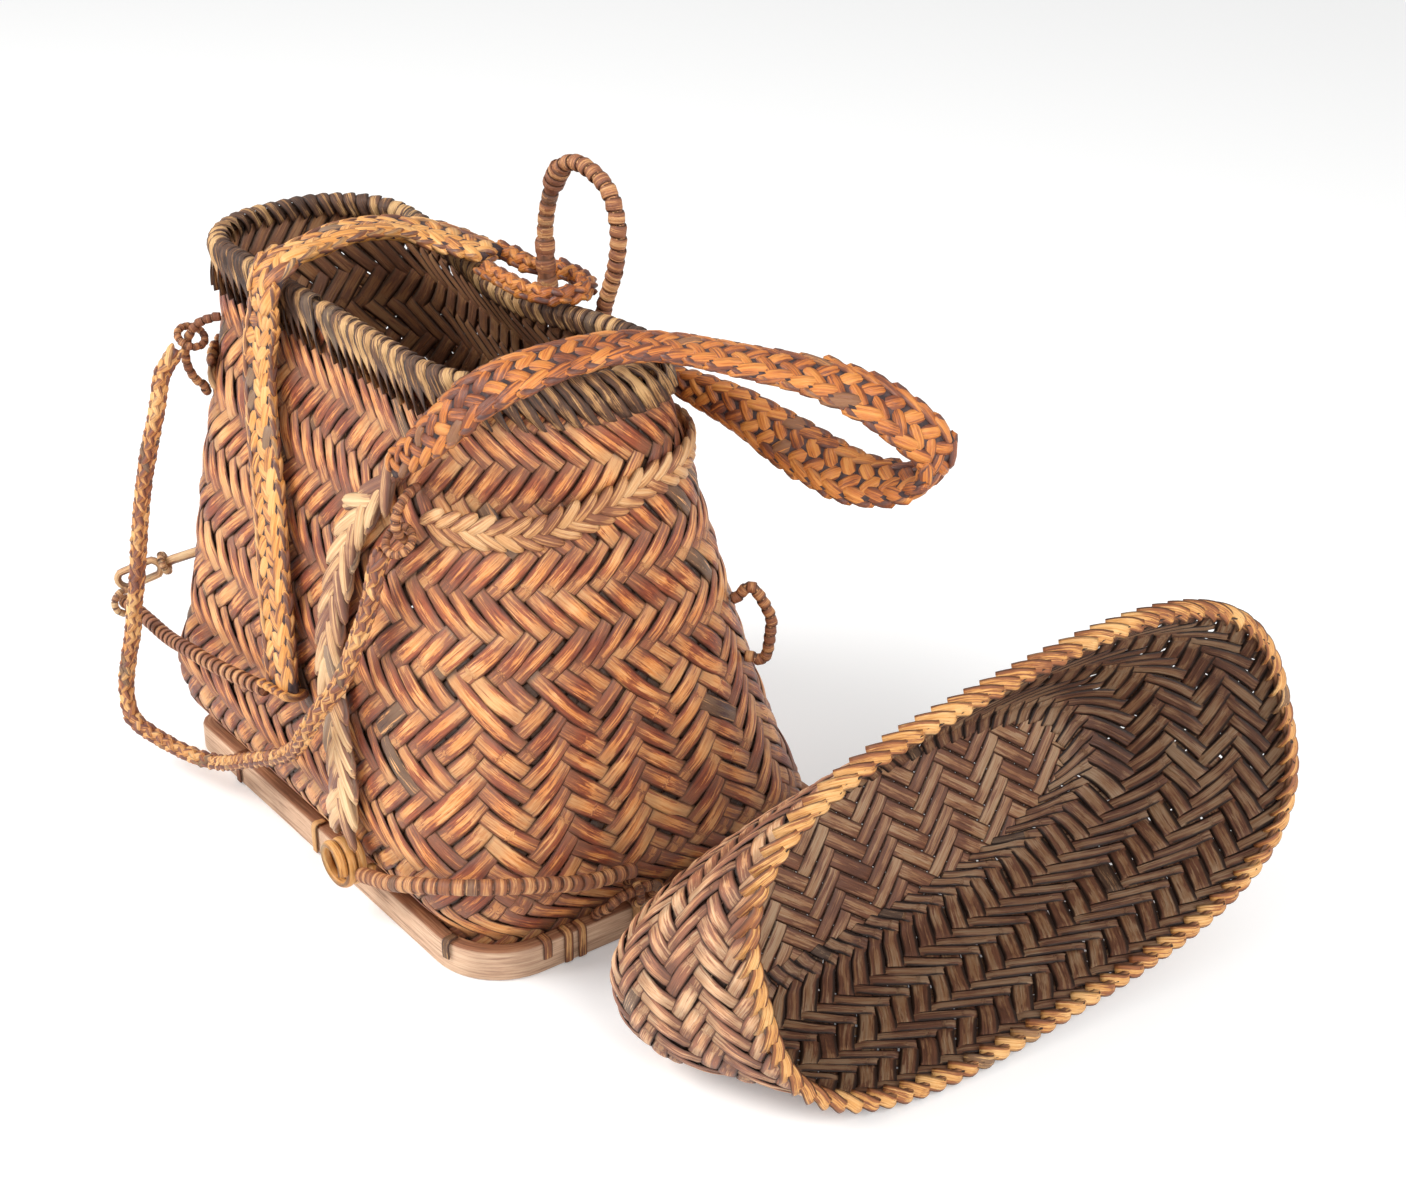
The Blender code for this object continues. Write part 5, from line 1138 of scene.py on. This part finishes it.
# Whole cane with its skin on: smooth, glossy and amber.
pale_cane = rattan("smooth_pale_cane", ("#9C6430", "#C08040", "#D89A52", "#ECBE80"), "#8A6038", 0.50, 0.28, 6.0)
turns = np.linspace(0, 2 * pi * COIL_TURNS, COIL_TURNS * 28 + 1)
coil_ups = np.stack([np.cos(turns), np.zeros(len(turns)), np.sin(turns)], axis=1)
coil_path = COIL_CENTRE + coil_ups * COIL_RADIUS
coil_path[:, 1] += COIL_PITCH * COIL_TURNS * (turns / turns[-1] - 0.5)
wound_ring = strand("wound_cane_ring", coil_path, coil_ups, round_section(0.0057, COIL_STRAND * 0.8, 10), pale_cane)
dress(wound_ring, "basket", "rattan_pale", "strap_right_coil")

CORD_DIAMETER = 0.0085
CORD_PITCH = 0.0066
RING_PITCH = 0.0036
ANCHOR_RING_RADIUS = 0.0060
ANCHOR_RING_STRAND = 0.0044
ANCHOR_SPREAD = 0.017


def anchor_middle(around):
    """Top middle of the anchor loop at a place round the base."""
    return skin(around, BASE_HEIGHT + 0.014, 0.0108)


def ring_top(around):
    """Just above the anchor's ring at a place round the base."""
    return anchor_middle(around) + np.array([0, 0, ANCHOR_RING_RADIUS + ANCHOR_RING_STRAND / 2 + 0.0006])


cord_start = COIL_CENTRE + np.array([COIL_RADIUS + COIL_STRAND / 2 + CORD_DIAMETER / 4, 0, 0])
cord_side = [skin(around, level(share), 0.0045 + CORD_DIAMETER / 2) for around, share in
             ((0.100, 0.150), (0.122, 0.185), (0.142, 0.198), (0.160, 0.198), (0.178, 0.185), (0.198, 0.160))]
cord_points = [cord_start, (cord_start + cord_side[0]) / 2, *cord_side,
               ring_top(0.222) + np.array([0, 0, CORD_DIAMETER / 2])]
right_cord = wound("wrapped_right_cord", smooth_path(cord_points, 0.004), CORD_DIAMETER, CORD_PITCH, loop_rattan,
                   seed=16)
dress(right_cord, "basket", "rattan_cord", "strap_right_cord")

# Anchors: a loop of cane on the base frame at each end, and the wound ring by which a strap's cord holds it.
for side, around, seed in (("right", 0.222, 17), ("left", 0.775, 18)):
    middle = anchor_middle(around)
    sign = 1 if middle[0] > HOME[0] else -1
    foot_x = sign * (HALF_LENGTH - BASE_THICKNESS * 0.22) + HOME[0]
    points = []
    for end in (-1, 1):
        foot = np.array([foot_x, middle[1] + end * ANCHOR_SPREAD, BASE_HEIGHT + 0.0009])
        knee = foot + np.array([sign * 0.00108, 0, 0.0034])
        bend = np.array([middle[0] - sign * 0.00054, middle[1] + end * ANCHOR_SPREAD * 0.9, middle[2] - 0.0039])
        shoulder = middle + np.array([0, end * ANCHOR_SPREAD / 2, 0])
        points += [foot, knee, bend, shoulder][::-end]
    anchor = wound(f"wrapped_anchor_{side}", smooth_path(points, 0.003), 0.0056, 0.0048, loop_rattan, seed=seed)
    dress(anchor, "basket", "rattan_cord", f"anchor_loop_{side}")
    ring = wound(f"wound_anchor_ring_{side}", ring_path(middle, np.array([0, 1.0, 0]), ANCHOR_RING_RADIUS),
                 ANCHOR_RING_STRAND, RING_PITCH, lashing_rattan, True, seed + 10)
    dress(ring, "basket", "rattan_cord", f"anchor_ring_{side}")

# Left strap's cord: wrapped cane round the near left corner to a ring, a link and a knot of pale cane,
# and a smooth strip from the knot back to the anchor.
LEFT_CORD_SHARES = ((-0.105, -1.158, 0.341), (-0.200, -1.171, 0.335), (-0.427, -1.188, 0.317),
                    (-0.667, -1.184, 0.297), (-0.867, -1.162, 0.274), (-1.067, -1.140, 0.262),
                    (-1.215, -1.132, 0.257), (-1.310, -1.128, 0.253))
KNOT_STRAND = 0.0042
KNOT_RADIUS = 0.0072
LINK_LENGTH = 0.030
LINK_WIDTH = 0.014
TAIL_DIAMETER = 0.0055
left_cord_points = [at_shares(*row) for row in LEFT_CORD_SHARES]
left_cord = wound("wrapped_left_cord", smooth_path(left_cord_points, 0.004), CORD_DIAMETER, CORD_PITCH, loop_rattan,
                  seed=20)
dress(left_cord, "basket", "rattan_cord", "strap_left_cord")
low_ring = at_shares(-1.290, -1.129, 0.254)
link = at_shares(-1.297, -1.043, 0.3015)
toward = unit(at_shares(-1.215, -0.870, 0.333) - link)
knot = link + toward * ((LINK_LENGTH + KNOT_STRAND) / 2 - 0.0012)
collar = (CORD_DIAMETER + KNOT_STRAND) / 2 + 0.0006
cord_axis = unit(left_cord_points[-1] - left_cord_points[-2])
cross_link = unit(np.cross(np.cross([0, 0, 1.0], toward), toward))
half_link = (LINK_LENGTH - LINK_WIDTH) / 2
link_radius = (LINK_WIDTH - KNOT_STRAND) / 2
link_points = [link + toward * end * (half_link + link_radius * cos(turn)) + cross_link * end * link_radius * sin(turn)
               for end in (1, -1) for turn in np.radians((-90, -60, -30, 0, 30, 60, 90))]
tail_start = knot + toward * (KNOT_STRAND / 3)
TAIL_SHARES = ((-1.135, -0.740, 0.352), (-1.105, -0.600, 0.335), (-1.100, -0.430, 0.270))
tail_points = [tail_start, tail_start + toward * TAIL_DIAMETER, *[at_shares(*row) for row in TAIL_SHARES],
               ring_top(0.775)]
tail_path = smooth_path(tail_points, 0.004)
link_path = smooth_path(link_points, 0.002, True)
small_pieces = (
    (wound("wound_left_ring", ring_path(low_ring, cord_axis, collar), KNOT_STRAND, RING_PITCH, braid_rattan, True,
           21), "strap_left_ring"),
    (strand("cane_left_link", link_path, carried_up(link_path, True), round_section(KNOT_STRAND, KNOT_STRAND),
            braid_rattan, True), "strap_left_link"),
    (wound("wound_left_knot", ring_path(knot, toward, KNOT_RADIUS * 0.7), KNOT_STRAND, RING_PITCH, braid_rattan,
           True, 22), "strap_left_knot"),
    (strand("smooth_left_tail", tail_path, carried_up(tail_path), round_section(TAIL_DIAMETER, TAIL_DIAMETER, 10),
            braid_rattan), "strap_left_tail"),
)
for piece, node in small_pieces:
    dress(piece, "basket", "rattan_pale", node)

# Small wrapped loops: one stands out of the far right corner, two on the neck carry the ends of the lid's rope.
SMALL_LOOP = 0.0062
SIDE_AROUND = 0.338
high_z, low_z = level(0.520), level(0.405)
mid_z = (high_z + low_z) / 2
side_points = [*wall_stub(SIDE_AROUND, high_z, SMALL_LOOP / 2),
               skin(SIDE_AROUND, high_z, 0.0114) + np.array([0, 0, SMALL_LOOP]),
               skin(SIDE_AROUND, (high_z + mid_z) / 2, 0.019), skin(SIDE_AROUND, mid_z, 0.01805),
               skin(SIDE_AROUND, low_z, 0.0114), *wall_stub(SIDE_AROUND, low_z, SMALL_LOOP / 2)[::-1]]
side_loop = wound("wrapped_side_loop", smooth_path(side_points, 0.003), SMALL_LOOP, 0.0050, loop_rattan, seed=23)
dress(side_loop, "basket", "rattan_cord", "side_loop")


# Place round the neck, share of the height, reach off the wall and half height of the two neck loops.
NEAR_NECK_LOOP = (0.112, 0.762, 0.0150, 0.0125)
LEFT_NECK_LOOP = (0.845, 0.800, 0.0175, 0.0207)


def neck_loop_point(around, share, reach, rise, turn):
    """Point of a neck loop's arch at a turn from straight out."""
    return skin(around, level(share), reach * cos(turn)) + np.array([0, 0, rise * sin(turn)])


for side, shape in (("near", NEAR_NECK_LOOP), ("left", LEFT_NECK_LOOP)):
    around, share, reach, rise = shape
    radius = SMALL_LOOP * 0.4
    high, low = [wall_stub(around, level(share) + lift, radius) for lift in (rise, -rise)]
    arch = [neck_loop_point(*shape, radians(turn)) for turn in (60, 35, 10, -15, -40, -62)]
    loop = wound(f"wrapped_{side}_neck_loop", smooth_path(high + arch + low[::-1], 0.003), radius * 2, 0.0042,
                 loop_rattan, seed=24)
    dress(loop, "basket", "rattan_cord", f"{side}_neck_loop")


def hanging(axis):
    """Direction in which a ring round an axis hangs."""
    down = np.array([0, 0, -1.0])
    return unit(down - axis * down.dot(axis))


slack = KNOT_RADIUS - (KNOT_STRAND + SMALL_LOOP * 0.8) / 2 - 0.0006
left_turn, hook_turn = radians(35), radians(-38)
ring_centre = neck_loop_point(*LEFT_NECK_LOOP, left_turn)
ring_along = unit(neck_loop_point(*LEFT_NECK_LOOP, left_turn * 1.1) - ring_centre)
ring_axis = unit(ring_along + unit(np.array([1, -0.75, 0.65])) * 0.7)
hook_at = neck_loop_point(*NEAR_NECK_LOOP, hook_turn)
hook_along = unit(hook_at - neck_loop_point(*NEAR_NECK_LOOP, hook_turn * 1.1))
eye_ring = wound("wound_rope_ring", ring_path(ring_centre + hanging(ring_axis) * slack * 0.75, ring_axis, KNOT_RADIUS),
                 KNOT_STRAND, RING_PITCH, loop_rattan, True, 26)
hook_ring = wound("wound_hook_ring", ring_path(hook_at + hanging(hook_along) * slack, hook_along, KNOT_RADIUS),
                  KNOT_STRAND, RING_PITCH, loop_rattan, True, 27)
for piece, node in ((eye_ring, "rope_eye_ring"), (hook_ring, "rope_hook_ring")):
    dress(piece, "basket", "rattan_cord", node)

# Lid: a deep oval cap of the same split rattan, lying on its long side with its mouth to the right; its inside is
# painted dark as shade.
# A golden border of hooked strips closes its mouth.
LID_LENGTH = 0.322
LID_WIDTH = 0.172
LID_DEPTH = 0.100
LID_FACING = radians(-3.4)
LID_TIP = radians(13.5)
LID_ROLL = radians(8.0)
LID_ROWS = np.array((
    (0.00, 1.000, 1.000, 0.000, 0.000, 3.0), (0.16, 1.010, 0.940, -0.037, -0.012, 2.9),
    (0.33, 1.012, 0.872, -0.080, -0.025, 2.9), (0.50, 1.008, 0.795, -0.130, -0.043, 2.8),
    (0.66, 1.000, 0.712, -0.174, -0.060, 2.8), (0.80, 0.975, 0.640, -0.205, -0.070, 2.7),
    (0.91, 0.940, 0.560, -0.224, -0.074, 2.7), (0.98, 0.880, 0.470, -0.234, -0.076, 2.6),
    (1.00, 0.790, 0.370, -0.238, -0.076, 2.5),
))


def lid_row(depth_share, arounds, off=0.0, forward=0.0):
    """Evenly spaced points round the lid at one depth, in its own axes, and the length round."""
    long_share, wide_share, shift_x, shift_y, power = [
        np.interp(depth_share, LID_ROWS[:, 0], LID_ROWS[:, i]) for i in range(1, 6)]
    turn = 2 * pi * np.linspace(0, 1, 721)
    half = LID_LENGTH / 2
    x, y = [(reach + off) * np.abs(part) ** (2 / power) * np.sign(part) + shift * half
            for reach, part, shift in ((long_share * half, np.cos(turn), shift_x),
                                       (wide_share * LID_WIDTH / 2, np.sin(turn), shift_y))]
    dense = np.stack([x, y, np.full(len(x), forward - depth_share * LID_DEPTH)], axis=1)
    run = travelled(dense)
    return at_marks((np.asarray(arounds) % 1.0) * run[-1], run, dense), run[-1]


lid_out = Vector((cos(LID_FACING) * cos(LID_TIP), sin(LID_FACING) * cos(LID_TIP), sin(LID_TIP)))
lid_level = Vector((-sin(LID_FACING), cos(LID_FACING), 0))
lid_upright = lid_out.cross(lid_level)
lid_along = lid_level * cos(LID_ROLL) + lid_upright * sin(LID_ROLL)
lid_across = lid_upright * cos(LID_ROLL) - lid_level * sin(LID_ROLL)
lid_turn = Matrix((lid_along, lid_across, lid_out)).transposed()
ring_shares = np.arange(56) / 56
lid_rings = [lid_row(row[0], ring_shares)[0] for row in LID_ROWS] + [lid_row(0, ring_shares, 0.0028)[0]]
lowest = min((ring @ np.array(lid_turn).T)[:, 2].min() for ring in lid_rings)
lid_place = Matrix.Translation((0.319 + HOME[0], 0.088 + HOME[1], -lowest)) @ lid_turn.to_4x4()
LID_STRIPS = 70
LID_RISE = 0.0117
LID_STRIP_THICKNESS = 0.0012
LID_FILL = 1.01
LID_ROUND = 449
LID_MAP_START = 0.05
GUIDE_OVERLAP = 0.012
# Aged by smoke, duller than the body; its underside and what lies deep between its floats are painted nearly black as
# shade.
lid_rattan = rattan("dark_split_rattan_plait", ("#7A4C3A", "#AE7050", "#CE9668", "#E8C098"), "#5A4236", 0.60, 0.42,
                    spread=0.14, deep_shade_colour="#2A1A10")
lid_depths = np.concatenate([np.linspace(0, 0.9, 28), np.linspace(0.915, 1.0, 12)])
lid_points = np.array([lid_row(depth, np.linspace(-0.5, 1.5, LID_ROUND))[0] for depth in lid_depths])
down = np.gradient(lid_points, axis=0)
sideways = np.roll(lid_points, -1, axis=1) - np.roll(lid_points, 1, axis=1)
sideways[:, 0] = sideways[:, 1]
sideways[:, -1] = sideways[:, -2]
lid_normals = unit(np.cross(down, sideways))
if ((lid_points - lid_points.mean(axis=1, keepdims=True)) * lid_normals)[..., :2].sum() < 0:
    lid_normals = -lid_normals
to_world = np.array(lid_place)
lid_world = lid_points @ to_world[:3, :3].T + to_world[:3, 3]
lid_outs = lid_normals @ to_world[:3, :3].T
lid_run = travelled(lid_points[:, LID_ROUND // 2])
lid_rows = [(run / MAP_SCALE + LID_MAP_START, lid_world[i], lid_outs[i]) for i, run in enumerate(lid_run)]
for edge, inside in ((0, 1), (-1, -2)):
    step = GUIDE_OVERLAP / abs(lid_run[edge] - lid_run[inside])
    beyond = lid_world[edge] + (lid_world[edge] - lid_world[inside]) * step
    overlap = GUIDE_OVERLAP / MAP_SCALE * (1 if edge else -1)
    lid_rows.insert(len(lid_rows) if edge else 0, (lid_rows[edge][0] + overlap, beyond, lid_outs[edge]))
lid_guide = guide_wall("lid_guide", lid_rows)
lid_lengths = np.array([lid_row(depth, [0.0])[1] for depth in lid_depths])


def lid_twill(start, crossing, direction):
    """Over three, under three in rows round the lid's wall."""
    rising, falling = strip_places(start, crossing, direction)
    rising_on_top = (falling - rising) % 6 < 3
    return rising_on_top if direction > 0 else ~rising_on_top


for direction, side in ((1, "rising_right"), (-1, "rising_left")):
    strips = bias_strips("lid_strips_" + side, direction, LID_STRIPS, LID_RISE, 0.001, lid_run[-1] - 0.004,
                         (lid_run, lid_lengths), lid_twill, lid_rattan, lid_guide, LID_STRIP_THICKNESS, LID_FILL,
                         LID_MAP_START)
    dress(strips, "lid", "lid_weave", "lid_shell")

crown_outline = lid_row(0.985, np.arange(160) / 160)[0][:, :2]
# The crown's strips are darkened about half way to near black, as painted shade.
crown = floor_weave("lid_crown_plait", crown_outline, -LID_DEPTH + 0.0016, 0.0085, lid_rattan, 0.8, pi / 4,
                    lid_place)
dress(crown, "lid", "lid_weave", "lid_shell")

LID_HOOK_PITCH = 0.0094
# Tough golden strips with their skin outwards, satin and little worn.
lid_border_rattan = rattan("golden_rattan_border", ("#7A4426", "#AA6838", "#D0924C", "#E8B87A"), "#5E4030", 0.57,
                           0.38, spread=0.12)
lid_hook_route = ((-0.0098, 0.0006, -0.0072), (-0.0064, 0.0012, -0.0034), (-0.0028, 0.0011, -0.0003),
                  (0.0006, 0.0000, 0.0011), (0.0040, -0.0018, 0.0012), (0.0074, -0.0032, -0.0012),
                  (0.0104, -0.0036, -0.0046))
lid_hook = hook_shape("lid_hook", lid_hook_route, 0.0068, 0.0013)
count = int(lid_lengths[0] / LID_HOOK_PITCH)
mouth = lid_row(0, np.arange(count) / count)[0]
outwards = np.cross(ahead_of(mouth, True), upright(count))
mouth_axes = np.stack([np.cross(outwards, upright(count)), outwards, upright(count)], axis=1)
lid_hooks = laid_pieces("lid_border_strips", mouth, mouth_axes, (1, 1, 1), lid_hook, lid_border_rattan, seed=30)
# The core cane is darkened a third of the way to the shade colour, as painted shade.
lid_core = strand("lid_core_cane", lid_row(0.012, np.arange(200) / 200, -0.0012)[0], upright(200),
                  round_section(0.0044, 0.0048), lid_border_rattan, True, painted_shade=0.5, tone=0.3)
lid_border = joined("lid_border_plait", [lid_hooks, lid_core])
lid_border.data.transform(lid_place)
dress(lid_border, "lid", "rattan_border", "lid_border")

# The shapes that were laid and the walls that strips were laid on are not part of the object.
for helper in (plait_float, wrap_turn, border_hook, lid_hook, body_guide, lid_guide):
    bpy.data.objects.remove(helper, do_unlink=True)
